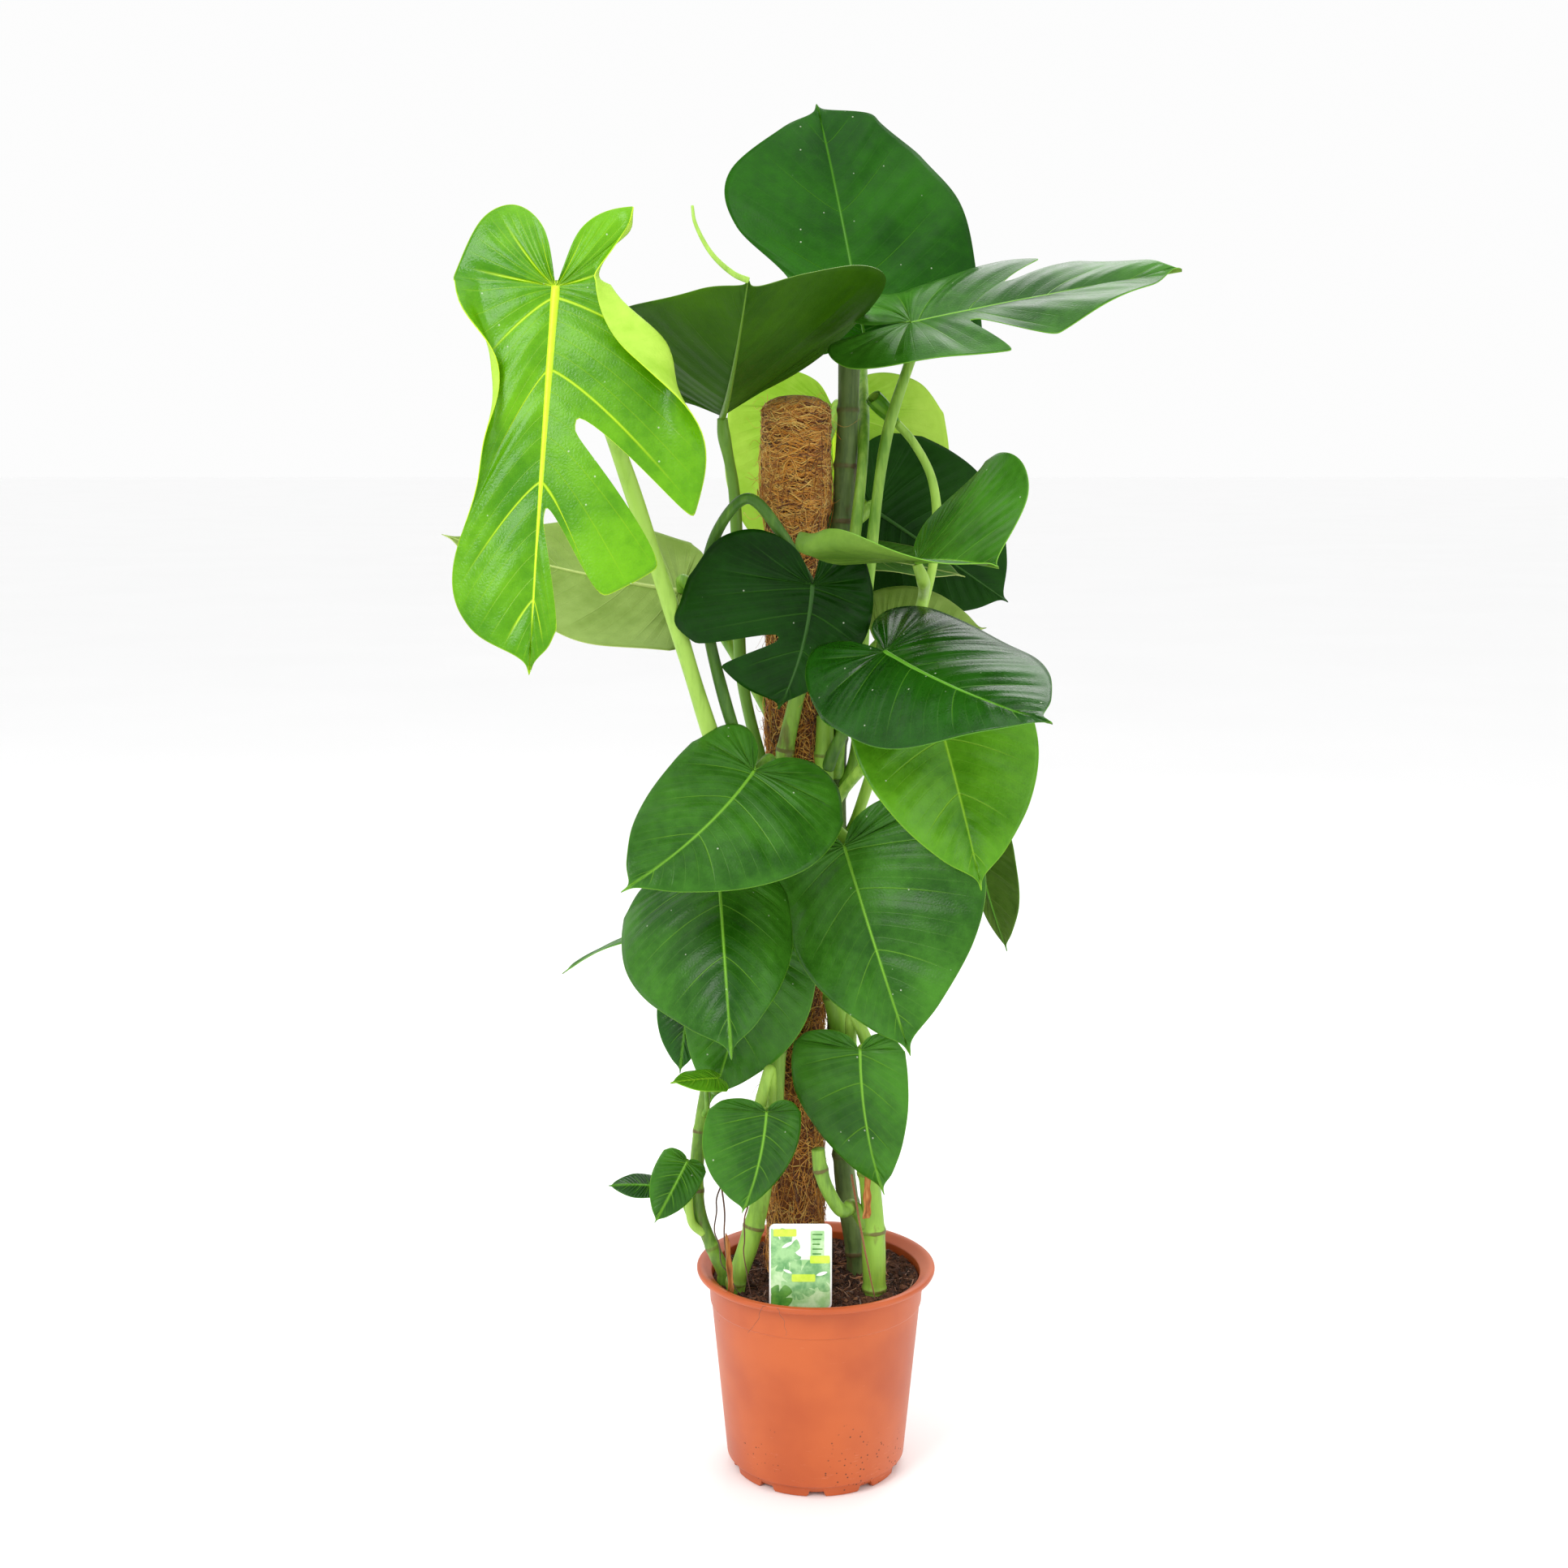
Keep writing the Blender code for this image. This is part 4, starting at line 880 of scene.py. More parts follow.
def rolled_leaf():
    """A sheet wound round its heading: a for the way along it, b for the way round the spiral.

    The spiral's radius grows with b, and the sheet is short at its ends, so the open end shows
    its turns. It is widest two thirds of the way along.
    """
    a, b = np.meshgrid(np.linspace(0, 1, 40), np.linspace(0, 1, 90), indexing="ij")
    side = np.cross(heading, (0.0, 1.0, 0.0))
    side /= np.linalg.norm(side)
    lift = np.cross(side, heading)
    girth = 0.0034 + 0.0046 * np.sin(pi * np.clip(a * 0.62, 0, 1)) ** 0.8
    radius = girth * (0.50 + 0.50 * b)
    turn = 2 * pi * 2.1 * b + 0.5 * a
    along = 0.0006 + (0.0285 + 0.003 * np.sin(turn)) * a
    points = (rolled_route[-1, :3] + along[..., None] * heading
              + (radius * np.cos(turn))[..., None] * side + (radius * np.sin(turn))[..., None] * lift)
    flat = points.reshape(-1, 3)
    data = {"vein_u": b.ravel() * 0.6, "vein_span": np.full(b.size, 0.05),
            "from_midrib": np.full(b.size, 0.03),
            "from_margin": (1 - b).ravel() * 0.05 + 0.002, "out": np.full(b.size, 0.4)}
    made = piece("leaf_rolled_sheet", flat, [grid_faces(40, 90)[:, ::-1]], list(leaf_paints["fresh"]),
                 ("leaf_rolled",), data)
    thicken(made, 0.0005, 1)


rolled_leaf()


# ---------------------------------------------------------------- coir pole

def coir_finish(name, stops, gloss):
    """Each strand takes its brown from its own shade; dark dust and streaks lie over it."""
    paint = Paint(name, Specular_IOR_Level=0.25, Sheen_Weight=0.25, Sheen_Roughness=0.6)
    shade = paint.attribute("shade")
    patch = paint.noise(34.0, 3.0, 0.6)
    grain = paint.noise(900.0, 3.0, 0.7)
    colour = paint.ramp(shade * 0.85 + (patch - 0.5) * 0.5 + (grain - 0.5) * 0.45 + 0.06, stops)
    return paint.finish(colour, grain * 0.2 + gloss, grain, 0.0004, 0.5)


coir_paint = coir_finish("coir_strands", [(0.05, tone(96, 48, 4)), (0.28, tone(172, 98, 18)),
                                          (0.55, tone(226, 152, 46)), (0.95, tone(252, 212, 116))], 0.72)
# A darker brown for the sleeve under the wound fibres: painted shade in the gaps between them.
coir_gap_shade_paint = coir_finish("coir_under_painted_shade", [(0.2, tone(90, 46, 8)), (0.8, tone(170, 98, 30))], 0.85)
root_paint = coir_finish("root_skin", [(0.1, tone(52, 30, 18)), (0.5, tone(112, 66, 36)),
                                       (0.9, tone(168, 112, 64))], 0.6)


def on_pole(x, y, z):
    return np.stack([POLE_X + x, POLE_Y + y, z], -1)


def coir_strands(name, routes, radii, shades, low=0, high=1):
    """Strands of coir, each with its own shade: shades is the middle and the spread."""
    shade = np.clip(rng.normal(*shades, len(routes)), low, high)
    return strands(name, routes, radii, shade, coir_paint)


def waves(points, size, count=18):
    """Random swells, the sum of count sine waves about size long, between about -1 and 1."""
    ways = rng.normal(size=(count, points.shape[-1]))
    ways /= np.linalg.norm(ways, axis=1, keepdims=True)
    ways *= (2 * pi / size * rng.uniform(0.6, 1.7, count))[:, None]
    return np.sin(points @ ways.T + rng.uniform(0, 2 * pi, count)).sum(-1) / count**0.5 * 0.7


def pole_radius(height):
    """The sleeve's outside: a thicker head where the fibre folds over, rounded in at the top."""
    head = np.clip((height - (POLE_TOP - POLE_HEAD_LENGTH - 0.015)) / 0.015, 0, 1)
    radius = POLE_RADIUS + (POLE_HEAD_RADIUS - POLE_RADIUS) * head * head * (3 - 2 * head)
    fall = np.clip(1 - (POLE_TOP - height) / 0.014, 0, 1)
    return radius * (1 - fall**2.2) ** 0.5


def pole_sleeve():
    """A turned body, pushed in and out by swells, closed at the top and the foot."""
    heights = np.concatenate([np.linspace(SOIL_TOP + 0.0005, POLE_TOP - 0.014, 330),
                              POLE_TOP - 0.014 * (1 - np.linspace(0, 1, 22)[1:] ** 0.6)])
    turn = np.linspace(0, 2 * pi, 96, endpoint=False)
    z, a = np.meshgrid(heights, turn, indexing="ij")
    radius = pole_radius(z) - 0.0016
    round_it = np.stack([np.cos(a) * 0.03, np.sin(a) * 0.03, z * 0.6], -1)
    radius = np.maximum(radius + 0.0007 * waves(round_it, 0.016) + 0.0004 * waves(round_it, 0.005), 0.0002)
    radius[-1] = 0
    points = on_pole(radius * np.cos(a), radius * np.sin(a), z).reshape(-1, 3)
    foot = [POLE_X, POLE_Y, heights[0]]
    points = np.vstack([points, foot])
    quads = grid_faces(len(heights), 96, wrap=True)
    points, faces, data = welded(points, quads, {"shade": np.full(len(points), 0.3)})
    faces = [*faces, foot_fan(points, foot)]
    return piece("pole_sleeve", points, faces, [coir_gap_shade_paint], ("coir_pole",), data)


def foot_fan(points, foot):
    """Triangles from the lowest ring to the foot point, facing down."""
    low = np.flatnonzero(abs(points[:, 2] - foot[2]) < 1e-7)
    middle = low[np.argmin(np.hypot(points[low, 0] - foot[0], points[low, 1] - foot[1]))]
    ring = low[low != middle]
    ring = ring[np.argsort(np.arctan2(points[ring, 1] - foot[1], points[ring, 0] - foot[0]))]
    return np.stack([np.full(len(ring), middle), np.roll(ring, -1), ring], 1)


pole_sleeve()


def pole_wraps(name, count, low, high, span, climb, lift, thick, shades, wander=0.0006, steps=7):
    """Fibres wound on the pole: angle grows evenly, height by the climb, and the radius rides on the
    sleeve with a slow wander, dipping into it at both ends."""
    s = np.linspace(-0.5, 0.5, steps)
    middle = spread(low, high, count)
    turn = spread(0, 2 * pi, count) + s * spread(*span, count) * rng.choice([-1, 1], count)[:, None]
    rising = s * rng.normal(0, climb, count)[:, None]
    height = middle + rising + 0.25 * climb * np.sin(9 * s + swing(count))
    height = np.clip(height, SOIL_TOP + 0.002, POLE_TOP - 0.0015)
    radius = pole_radius(height) - 0.0014 + spread(*lift, count) * (1 - (2 * s) ** 4)
    radius = radius + wander * np.sin(spread(6, 22, count) * s + swing(count))
    radii = spread(*thick, count) * (1 - 0.7 * (2 * s) ** 4)
    routes = on_pole(radius * np.cos(turn), radius * np.sin(turn), height)
    return coir_strands(name, routes, radii, shades, 0.02, 0.98)


pole_wraps("pole_head_fibres", 1900, POLE_TOP - 0.115, POLE_TOP - 0.001, (0.5, 2.0), 0.009, (0.0004, 0.0022),
           (0.00024, 0.00062), (0.62, 0.30), steps=9)
pole_wraps("pole_wound_fibres", 3300, SOIL_TOP, POLE_TOP - 0.10, (0.4, 1.9), 0.014, (0.0002, 0.0022),
           (0.00022, 0.00060), (0.54, 0.32), steps=8)
pole_wraps("pole_tangled_fibres", 1500, SOIL_TOP, POLE_TOP - 0.05, (0.2, 1.0), 0.040, (0.0006, 0.0042),
           (0.00020, 0.00044), (0.50, 0.30), 0.0014, steps=9)


def pole_top_folds():
    """Fibres laid over the pole's top from one side to the other, higher in the middle."""
    count, steps = 520, 9
    s = np.linspace(-1, 1, steps)
    across = spread(-0.92, 0.92, count)
    half = (1 - across**2) ** 0.5 * spread(0.75, 1.0, count)
    turn = rng.normal(0.2, 0.7, count)[:, None]
    x, y = s * half * POLE_HEAD_RADIUS, across * POLE_HEAD_RADIUS * (1 + 0.10 * np.sin(5 * s))
    out = np.clip(np.hypot(x, y) / POLE_HEAD_RADIUS, 0, 0.995)
    height = POLE_TOP - 0.014 * (1 - (1 - out**2) ** 0.45) - 0.0012 + spread(0, 0.0010, count)
    routes = on_pole(*turned(x, y, turn), np.minimum(height, POLE_TOP - 0.0004))
    radii = np.repeat(spread(0.00022, 0.00044, count), steps, 1)
    return coir_strands("pole_top_fibres", routes, radii, (0.5, 0.2))


pole_top_folds()


def stray_fibres():
    """Loose ends: each leaves the pole outwards and curls, by two sines that grow along it."""
    count, steps = 620, 10
    s = np.linspace(0, 1, steps)
    height = spread(SOIL_TOP + 0.01, POLE_TOP - 0.004, count)
    turn = spread(0, 2 * pi, count)
    reach = rng.gamma(2.2, 0.0036, count)[:, None] + 0.002
    out = pole_radius(height) - 0.001 + reach * s
    side = reach * (0.5 * np.sin(spread(2, 5, count) * s + swing(count))) * s
    rise = reach * (rng.normal(0, 0.7, count)[:, None] * s + 0.4 * np.sin(5 * s + swing(count)) * s)
    routes = on_pole(*turned(out, side, turn), np.minimum(height + rise, POLE_TOP + 0.001))
    radii = spread(0.00016, 0.00032, count) * (1 - 0.6 * s)
    return coir_strands("pole_stray_fibres", routes, radii, (0.5, 0.2))


stray_fibres()

core_paint = Paint("core_plastic_grain")
core_grain = core_paint.noise(300.0)
core_colour = core_paint.blend(core_grain, tone(30, 30, 32), tone(52, 52, 54))
core_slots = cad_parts["pole_core"].data.materials
core_slots.clear()
core_slots.append(core_paint.finish(core_colour, core_grain * 0.3 + 0.4, core_grain, 0.0004, 0.5))


# ---------------------------------------------------------------- pot

def rounded(profile, cut, steps=6):
    """The profile with each corner swapped for a short curve that starts and ends cut away from it."""
    p = np.asarray(profile, float)
    before, corner, after = p[:-2, None], p[1:-1, None], p[2:, None]
    back = np.linalg.norm(before - corner, axis=2, keepdims=True)
    ahead = np.linalg.norm(after - corner, axis=2, keepdims=True)
    start = corner + (before - corner) * np.minimum(cut / back, 0.45)
    end = corner + (after - corner) * np.minimum(cut / ahead, 0.45)
    t = np.linspace(0, 1, steps)[None, :, None]
    curve = (1 - t) ** 2 * start + 2 * t * (1 - t) * corner + t**2 * end
    return np.vstack([p[:1], curve.reshape(-1, 2), p[-1:]])


BODY_RADIUS, COLLAR_LOW, BASE_RADIUS = RIM_RADIUS - 0.0105, POT_HEIGHT - 0.032, 0.0785
NOTCHES, NOTCH_HALF_WIDTH, NOTCH_HEIGHT = 10, 0.008, 0.006


def wall_radius(z):
    share = (z - 0.011) / (COLLAR_LOW - 0.011)
    return BASE_RADIUS + (BODY_RADIUS - 0.0027 - BASE_RADIUS) * share


def pot_body():
    """A turned profile, with the foot lifted where a drainage notch is."""
    outside = [(RIM_RADIUS - 0.0035, POT_HEIGHT), (RIM_RADIUS - 0.0008, POT_HEIGHT - 0.0008),
               (RIM_RADIUS, POT_HEIGHT - 0.0030), (RIM_RADIUS - 0.0012, POT_HEIGHT - 0.0060),
               (BODY_RADIUS + 0.0012, POT_HEIGHT - 0.0074), (BODY_RADIUS, POT_HEIGHT - 0.0096),
               (BODY_RADIUS - 0.0015, COLLAR_LOW), (wall_radius(COLLAR_LOW), COLLAR_LOW - 0.0010),
               (wall_radius(COLLAR_LOW * 0.5), COLLAR_LOW * 0.5), (BASE_RADIUS, 0.011), (0.0740, 0.0095),
               (0.0732, 0.0002), (0.0690, 0.0), (0.0, 0.0)]
    inside = [(0.0, 0.003), (0.0705, 0.003), (wall_radius(0.012) - 0.0018, 0.012),
              (BODY_RADIUS - 0.0032, COLLAR_LOW - 0.004), (BODY_RADIUS - 0.0030, POT_HEIGHT - 0.006),
              (RIM_RADIUS - 0.0065, POT_HEIGHT - 0.0012), (RIM_RADIUS - 0.0035, POT_HEIGHT)]
    outside, inside = rounded(outside, 0.0012), rounded(inside, 0.0012)
    profile = np.vstack([outside, inside])
    turn = np.linspace(0, 2 * pi, 320, endpoint=False)
    r, a = np.meshgrid(profile[:, 0], turn, indexing="ij")
    z = np.broadcast_to(profile[:, 1:], r.shape).copy()
    step = 2 * pi / NOTCHES
    off = abs(a % step - step / 2) * BASE_RADIUS
    notch = np.clip((NOTCH_HALF_WIDTH - off) / 0.0010, 0, 1)
    is_outside = np.arange(len(profile))[:, None] < len(outside)
    foot = (z < NOTCH_HEIGHT) & (r > 0.0675) & is_outside
    z = np.where(foot, z + (NOTCH_HEIGHT - z) * notch, z)
    points = np.stack([r * np.cos(a), r * np.sin(a), z], -1).reshape(-1, 3)
    quads = grid_faces(len(profile), 320, wrap=True)[:, ::-1]
    points, faces, data = welded(points, quads, {"height": z.ravel()})
    return piece("pot_body", points, faces, [pot_paint], ("pot",), data)


def pot_finish():
    """Satin plastic: slow colour drift, fine moulding grain, scuffs and splashes of soil near the foot."""
    paint = Paint("pot_plastic_satin", IOR=1.48)
    height = paint.attribute("height")
    drift = paint.noise(14.0, 3.0, 0.5)
    grain = paint.noise(1500.0, 2.0, 0.5)
    scratch = paint.noise(60.0, 4.0, 0.7, stretch=(1.0, 1.0, 9.0))
    specks = paint.node("TexVoronoi", {"Vector": paint.place, "Scale": 210.0}, out="Distance")
    chance = paint.noise(17.0, 3.0, 0.7)
    low = paint.fall(height, 0.02, 0.10) * 0.16
    dirt = paint.fall(specks, 0.10, 0.22) * paint.rise(chance + low, 0.63, 0.70)
    scuff = paint.rise(scratch + low * 0.5, 0.69, 0.80)
    colour = paint.blend(paint.rise(drift, 0.3, 0.7), tone(178, 78, 30), tone(194, 92, 38))
    colour = paint.blend(scuff * 0.30, colour, tone(226, 160, 128))
    colour = paint.blend(dirt * 0.85, colour, tone(64, 40, 28))
    rough = grain * 0.10 + scuff * 0.14 + dirt * 0.3 + 0.36
    return paint.finish(colour, rough, grain * 0.5 + dirt * 0.6 + scratch * 0.12, 0.0004, 0.30)


pot_paint = pot_finish()
pot_body()


# ---------------------------------------------------------------- soil and what lies on it

def soil_finish():
    paint = Paint("potting_mix", Specular_IOR_Level=0.25)
    shade = paint.attribute("shade")
    lumps, grain = paint.noise(95.0, 5.0, 0.65), paint.noise(520.0, 3.0, 0.7)
    colour = paint.ramp(lumps * 0.55 + grain * 0.3 + shade * 0.3,
                        [(0.32, tone(26, 15, 11)), (0.52, tone(58, 36, 26)), (0.68, tone(92, 58, 40)),
                         (0.86, tone(136, 96, 66))])
    return paint.finish(colour, grain * 0.2 + 0.78, lumps + grain * 0.5, 0.0016, 0.9)


soil_paint = soil_finish()
soil_low = corners("soil")[0][2]


def soil_height(x, y):
    """Gentle heaps, a little hollow in the middle and banked up at the wall and round the pole."""
    out = np.hypot(x, y) / SOIL_RADIUS
    away = np.hypot(x - POLE_X, y - POLE_Y)
    flat = np.stack([x, y], -1)
    bank = 0.0016 * out**6 + 0.002 * np.exp(-((away - POLE_RADIUS) / 0.008) ** 2)
    return SOIL_TOP - 0.0016 + bank + 0.0014 * soil_swell(flat, 0) + 0.0007 * soil_swell(flat, 1)


swell_ways = [(rng.normal(size=(16, 2)) * 2 * pi / size, rng.uniform(0, 2 * pi, 16))
              for size in (0.045, 0.011)]


def soil_swell(points, k):
    ways, start = swell_ways[k]
    return np.sin(points @ ways.T + start).sum(-1) / 5


def soil_body():
    """A disc of rings whose top follows the heaps, with sides and a flat underside in the pot."""
    out = np.linspace(0, 1, 130)
    turn = np.linspace(0, 2 * pi, 220, endpoint=False)
    o, a = np.meshgrid(out, turn, indexing="ij")
    x, y = o * SOIL_RADIUS * np.cos(a), o * SOIL_RADIUS * np.sin(a)
    z = soil_height(x, y)
    low = np.array([[0.0890, 0.145], [0.0755, 0.016], [0.0705, soil_low], [0.0, soil_low]])
    lx, ly = low[:, :1] * np.cos(turn), low[:, :1] * np.sin(turn)
    lz = np.repeat(low[:, 1:], 220, 1)
    points = np.stack([np.vstack([x, lx]), np.vstack([y, ly]), np.vstack([z, lz])], -1).reshape(-1, 3)
    quads = grid_faces(134, 220, wrap=True)[:, ::-1]
    points, faces, data = welded(points, quads, {"shade": np.full(len(points), 0.5)})
    return piece("soil_bed", points, faces, [soil_paint], ("soil",), data)


soil_body()


def soil_spots(count, far=0.97, clear=0.001):
    """Even random places on the soil, outside the pole."""
    out = SOIL_RADIUS * far * rng.uniform(0, 1, 3 * count) ** 0.5
    turn = rng.uniform(0, 2 * pi, 3 * count)
    x, y = out * np.cos(turn), out * np.sin(turn)
    free = np.hypot(x - POLE_X, y - POLE_Y) > POLE_RADIUS + clear
    return x[free][:count], y[free][:count]


def soil_crumbs(count):
    """Crumbs: eight-sided lumps, each stretched and pushed out of true at random."""
    x, y = soil_spots(count)
    size = rng.gamma(3.0, 0.00038, count) + 0.0004
    corners_of = np.array([(1, 0, 0), (0, 1, 0), (-1, 0, 0), (0, -1, 0), (0, 0, 0.8), (0, 0, -0.8)], float)
    shape = corners_of[None] * rng.uniform(0.6, 1.5, (count, 6, 1)) + rng.normal(0, 0.16, (count, 6, 3))
    turn = rng.uniform(0, 2 * pi, count)
    shape = np.stack([*turned(shape[..., 0], shape[..., 1], turn[:, None]), shape[..., 2]], -1)
    centres = np.stack([x, y, soil_height(x, y) + size * 0.35], -1)
    points = (centres[:, None] + shape * size[:, None, None]).reshape(-1, 3)
    sides = np.array([(0, 1, 4), (1, 2, 4), (2, 3, 4), (3, 0, 4), (1, 0, 5), (2, 1, 5), (3, 2, 5), (0, 3, 5)])
    faces = (sides[None] + 6 * np.arange(count)[:, None, None]).reshape(-1, 3)
    shade = np.repeat(np.clip(rng.normal(0.45, 0.3, count), 0, 1.2), 6)
    return piece("soil_crumbs", points, [faces], [soil_paint], (), {"shade": shade}, smooth=False)


soil_crumbs(4200)


def ground_fibres(name, count, length, thick, shades, finish, arch=0.25):
    """Threads that lie on the soil: a heading that wanders, lifted in the middle by a low arch."""
    steps = 9
    s = np.linspace(-0.5, 0.5, steps)
    x, y = soil_spots(count, 0.93)
    size = spread(*length, count)
    turn = spread(0, 2 * pi, count) + 1.6 * s * rng.normal(0, 1, count)[:, None]
    px = x[:, None] + size * np.cumsum(np.cos(turn), 1) / steps
    py = y[:, None] + size * np.cumsum(np.sin(turn), 1) / steps
    over = np.maximum(np.hypot(px, py) / (SOIL_RADIUS * 0.97), 1)
    px, py = px / over, py / over
    pz = soil_height(px, py) + 0.0006 + arch * size * spread(0, 1, count) * (0.25 - s * s)
    radii = spread(*thick, count) * (1 - 0.6 * (2 * s) ** 2)
    shade = np.clip(rng.normal(*shades, count), 0, 1)
    return strands(name, np.stack([px, py, pz], -1), radii, shade, finish)


ground_fibres("soil_threads", 900, (0.008, 0.030), (0.00010, 0.00026), (0.45, 0.25), root_paint)
ground_fibres("soil_roots", 34, (0.030, 0.060), (0.0006, 0.0014), (0.62, 0.2), root_paint, 0.16)


def loose_strands(name, routes, thick, shade, finish, steps=60, sides=7, wander=0.0006):
    """Roots and threads that follow their own points, thinning towards the end."""
    lines = np.stack([smoothed(route, steps)[:, :3] for route in routes])
    sway = wander * np.sin(np.linspace(0, 26, steps))[None, :, None] * rng.normal(size=(len(routes), 1, 3))
    radii = np.asarray(thick)[:, None] * np.linspace(1, 0.45, steps)
    return strands(name, lines + sway, radii, shade, finish, sides)


loose_strands("aerial_roots", [above_soil(points) for points in [
    [(-0.088, -0.040, 0.160), (-0.086, -0.046, 0.130), (-0.080, -0.050, 0.090), (-0.078, -0.052, 0.040),
     (-0.074, -0.050, 0.001)],
    [(-0.080, -0.030, 0.105), (-0.087, -0.046, 0.070), (-0.080, -0.052, 0.030), (-0.062, -0.056, 0.001)],
    [(-0.050, -0.045, 0.120), (-0.060, -0.052, 0.080), (-0.062, -0.055, 0.040), (-0.056, -0.052, 0.001)],
    [(0.030, -0.035, 0.105), (0.038, -0.050, 0.060), (0.046, -0.056, 0.020), (0.050, -0.056, 0.001)],
]], [0.0011, 0.0008, 0.0009, 0.0012], [0.25, 0.15, 0.35, 0.7], root_paint)

tip_leaf = LEAVES["leaf_under_top"]
tip = blade_half(tip_leaf, {}, 1, np.array([1.0]), np.array([0.0, 1.0]), (0, 0, 0))[0][0, 0]
drip = [tip + step for step in [(0, 0, 0), (-0.010, -0.004, 0.004), (-0.026, -0.008, 0.018),
                                (-0.038, -0.008, 0.040), (-0.040, -0.006, 0.052)]]
loose_strands("drip_tip", [drip], [0.0024], [0.6], petiole_paint, sides=12, wander=0)


def over_rim(start, over, down, end):
    """A hair from the soil over the rim; each point is x, y and, past the first, a height from the rim."""
    return [(*start, SOIL_TOP + 0.002), *((x, y, POT_HEIGHT + rise) for x, y, rise in (over, down, end))]


loose_strands("rim_hairs", [
    over_rim((-0.040, -0.082), (-0.046, -0.1005, 0.0006), (-0.050, -0.0990, -0.012),
             (-0.058, -0.0965, -0.024)),
    over_rim((-0.030, -0.084), (-0.033, -0.1045, -0.0006), (-0.028, -0.1030, -0.012),
             (-0.026, -0.0998, -0.026)),
], [0.00022, 0.00020], [0.2, 0.3], root_paint, sides=4)


# ---------------------------------------------------------------- dry sheath

def dry_finish():
    paint = Paint("dry_sheath_skin", Specular_IOR_Level=0.3)
    streak = paint.noise(240.0, 4.0, 0.6, stretch=(1.0, 1.0, 0.12))
    colour = paint.ramp(streak, [(0.3, tone(96, 54, 24)), (0.5, tone(168, 104, 48)),
                                 (0.75, tone(214, 168, 104))])
    return paint.finish(colour, streak * 0.2 + 0.62, streak, 0.0008, 0.8)


dry_paint = dry_finish()


def sheath(name, foot, top, half_width, curl, replaces=()):
    """A dry strip: a for the way up, b across; it narrows upwards and curls about its length."""
    a, b = np.meshgrid(np.linspace(0, 1, 50), np.linspace(-1, 1, 15), indexing="ij")
    foot, top = np.asarray(foot, float), np.asarray(top, float)
    width = half_width * (1 - a) ** 0.45 * (1 + 0.15 * np.sin(17 * a))
    bend = radians(curl) * b * (0.5 + 0.5 * a)
    side = np.array([1.0, 0.35, 0.0]) / 1.06
    front = np.array([0.33, -0.94, 0.0])
    bow = 0.003 * np.sin(pi * a) + 0.0012 * np.sin(9 * a)
    spine = foot + (top - foot) * a[..., None] + front * bow[..., None]
    points = (spine + side * (width * np.sin(bend) / radians(curl))[..., None]
              + front * (width * (1 - np.cos(bend)))[..., None])
    made = piece(name, points.reshape(-1, 3), [grid_faces(50, 15)], [dry_paint], replaces)
    thicken(made, 0.0004)


sheath_low, sheath_high = corners("dry_sheath")
sheath_middle = (sheath_low + sheath_high)[:2] / 2
sheath("sheath_right", (*sheath_middle, sheath_low[2]), (*sheath_middle, sheath_high[2]), 0.0066, 60,
       ("dry_sheath",))
sheath("sheath_left", (-0.074, -0.052, SOIL_TOP + 0.004), (-0.078, -0.050, SOIL_TOP + 0.058), 0.0050, 70)


# ---------------------------------------------------------------- label

label_low, label_high = corners("plant_label")
LABEL_WIDTH, LABEL_HEIGHT = 0.053, 0.074
LEAN = radians(4.0)
label_middle = (label_low + label_high) / 2


def on_label(across, up, out):
    """A point of the card: across and up its face from its middle, and out of its front."""
    y, z = up * sin(LEAN) - out * cos(LEAN), up * cos(LEAN) + out * sin(LEAN)
    return np.stack([label_middle[0] + across, label_middle[1] + y, label_middle[2] + z], -1)


def card_shape(name, outline, low, high, finish, replaces=()):
    """A flat shape on the card with straight sides, between two distances out of the card's middle."""
    x, y = np.asarray(outline, float).T
    n = len(x)
    ones = np.ones(n)
    points = np.vstack([on_label(x, y, low * ones), on_label(x, y, high * ones)])
    k = np.arange(n)
    after = (k + 1) % n
    sides = np.stack([k, after, after + n, k + n], 1)
    return piece(name, points, [sides, [k[::-1]], [k + n]], [finish], replaces, smooth=False)


def round_box(x0, y0, x1, y1, corner, steps=9):
    """An upright box with round corners, anticlockwise."""
    turn = np.linspace(0, pi / 2, steps)
    left, right, low, high = x0 + corner, x1 - corner, y0 + corner, y1 - corner
    parts = [(right, low, -pi / 2), (right, high, 0), (left, high, pi / 2), (left, low, pi)]
    return np.vstack([np.stack([x + corner * np.cos(turn + begin), y + corner * np.sin(turn + begin)], 1)
                      for x, y, begin in parts])


def on_card(outline):
    """The outline, held inside the card's edge."""
    return np.clip(outline, (-0.0250, -0.0355), (0.0250, 0.0355))


def split_leaf(x, y, size, heading, lobes=9):
    """A leaf outline: a heart in polar form, cut in by narrow slits at even angles."""
    t = np.linspace(-pi, pi, 240, endpoint=False)
    radius = size * (0.72 + 0.28 * np.cos(t)) * (1 + 0.12 * np.cos(2 * t))
    radius = radius * (1 - 0.42 * np.exp(-(((t * lobes / pi) % 2 - 1) / 0.22) ** 2) * (abs(t) < 2.5))
    radius = radius * (1 - 0.6 * np.exp(-((abs(t) - pi) / 0.25) ** 2))
    return on_card(np.stack([x + radius * np.cos(t + heading), y + radius * np.sin(t + heading)], 1))


def lens(x, y, length, width, heading):
    """A pointed oval: half a sine wave on each side of its length."""
    t = np.linspace(0, 2 * pi, 36, endpoint=False)
    along, across = -np.cos(t) * length / 2, -np.sin(t) * abs(np.sin(t)) ** 0.6 * width / 2
    return np.stack([x + along * cos(heading) - across * sin(heading),
                     y + along * sin(heading) + across * cos(heading)], 1)


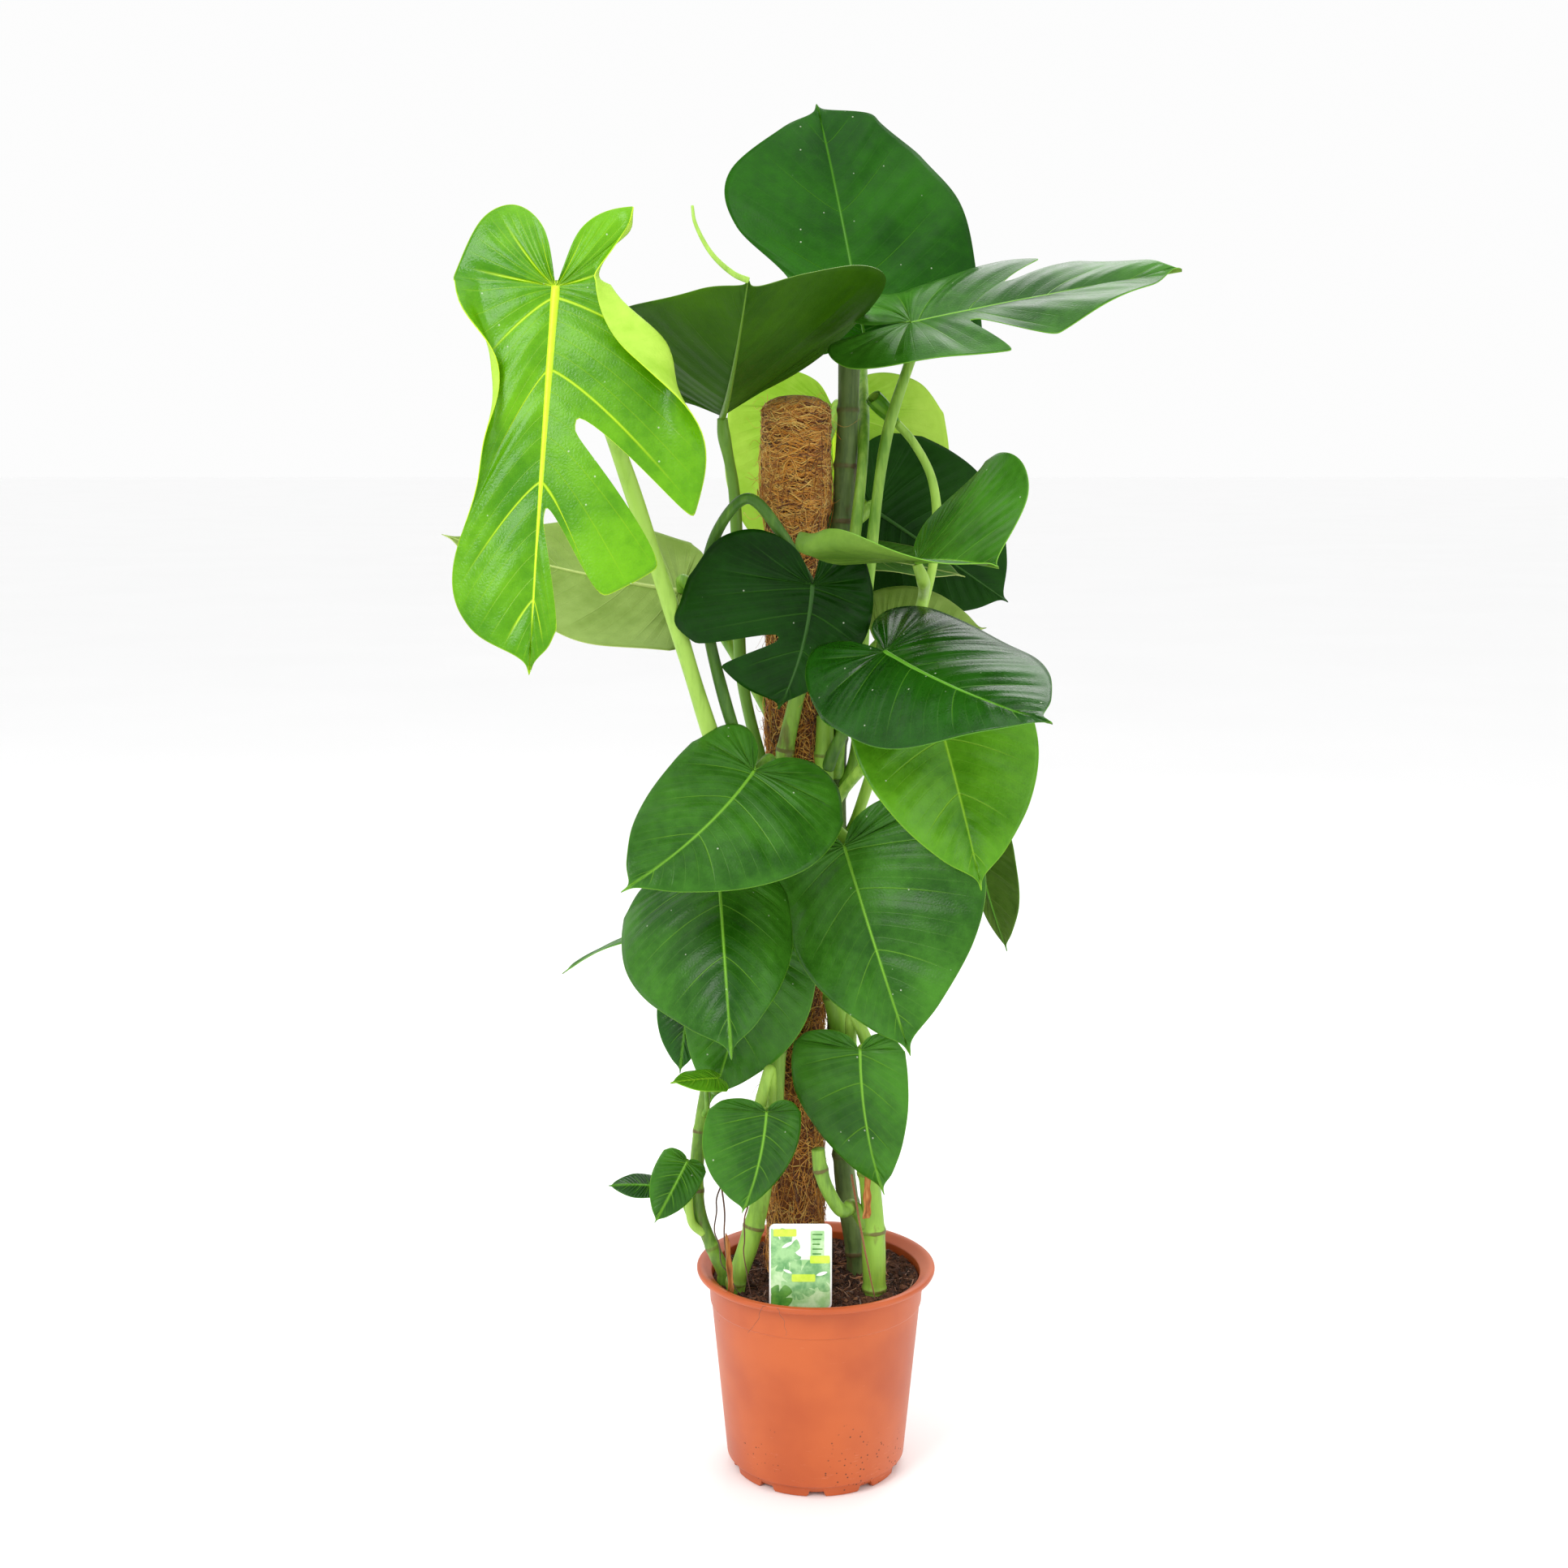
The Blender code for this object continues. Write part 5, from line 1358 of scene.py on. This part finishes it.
def print_finish(name, low, high):
    paint = Paint(name, Coat_Weight=0.25, Coat_Roughness=0.1)
    tint, grain = paint.noise(90.0, 3.0, 0.6), paint.noise(1400.0, 2.0, 0.5)
    colour = paint.blend(paint.rise(tint, 0.35, 0.65), low, high)
    return paint.finish(colour, grain * 0.15 + 0.28, grain, 0.0002, 0.2)


card_paint = print_finish("label_card_white", tone(224, 226, 220), tone(238, 239, 235))
HALF_WIDE, HALF_HIGH = LABEL_WIDTH / 2, LABEL_HEIGHT / 2
card_shape("label_card", round_box(-HALF_WIDE, -HALF_HIGH, HALF_WIDE, HALF_HIGH, 0.005),
           -0.00040, 0.00040, card_paint, ("plant_label",))
LEAF_INK = tone(96, 160, 92), tone(158, 206, 140)
PALE_INK = tone(150, 200, 130), tone(196, 226, 176)
DARK_INK = tone(52, 122, 40), tone(96, 160, 60)
LIME_INK = tone(186, 220, 30), tone(206, 232, 70)
WHITE_INK = tone(236, 240, 232), tone(246, 248, 244)
ART = [("label_panel", round_box(0.0085, 0.0080, 0.0200, 0.0310, 0.0010), PALE_INK),
       *[(f"label_bar_{k}", round_box(0.0100, 0.0272 - 0.0042 * k, 0.0186 - 0.0011 * (k % 3),
                                      0.0284 - 0.0042 * k, 0.0004), DARK_INK) for k in range(5)],
       ("label_ground", round_box(-0.0250, -0.0355, 0.0250, 0.0060, 0.0040), PALE_INK),
       ("label_leaf_top", split_leaf(-0.0130, 0.0080, 0.0250, 2.2), LEAF_INK),
       ("label_leaf_right", split_leaf(0.0120, -0.0040, 0.0210, -0.4), LEAF_INK),
       ("label_leaf_low", split_leaf(-0.0040, -0.0170, 0.0230, 0.9), LEAF_INK),
       ("label_leaf_corner", split_leaf(-0.0210, -0.0300, 0.0150, 0.8, 7), DARK_INK),
       ("label_slit_one", lens(-0.0110, 0.0190, 0.0110, 0.0030, 0.5), WHITE_INK),
       ("label_slit_two", lens(0.0020, 0.0110, 0.0120, 0.0050, -0.15), WHITE_INK),
       ("label_slit_three", lens(0.0180, -0.0060, 0.0100, 0.0030, 0.3), WHITE_INK),
       ("label_slit_four", lens(-0.0110, -0.0040, 0.0080, 0.0024, -0.4), WHITE_INK),
       ("label_ribbon_top", round_box(-0.0230, 0.0262, -0.0035, 0.0325, 0.0012), LIME_INK),
       ("label_ribbon_mid", round_box(0.0080, 0.0030, 0.0248, 0.0095, 0.0012), LIME_INK),
       ("label_ribbon_low", round_box(-0.0075, -0.0130, 0.0125, -0.0065, 0.0012), LIME_INK)]
inks = {}
for k, (name, outline, ink) in enumerate(ART):
    inks[ink] = inks.get(ink) or print_finish(f"label_ink_{len(inks)}", *ink)
    card_shape(name, outline, 0.00030, 0.00044 + 0.00003 * k, inks[ink])


# ---------------------------------------------------------------- floor

floor_mesh = bpy.data.meshes.new("floor")
floor_mesh.from_pydata([(-40, -40, 0), (40, -40, 0), (40, 40, 0), (-40, 40, 0)], [], [(0, 1, 2, 3)])
floor = bpy.data.objects.new("floor", floor_mesh)
bpy.context.scene.collection.objects.link(floor)
floor_paint = Paint("floor_pale", Specular_IOR_Level=0.2)
floor_tint = floor_paint.noise(1.2, 2.0)
floor_colour = floor_paint.blend(floor_tint, tone(250, 250, 250), tone(254, 254, 254))
floor_mesh.materials.append(floor_paint.finish(floor_colour, floor_tint * 0.1 + 0.6))
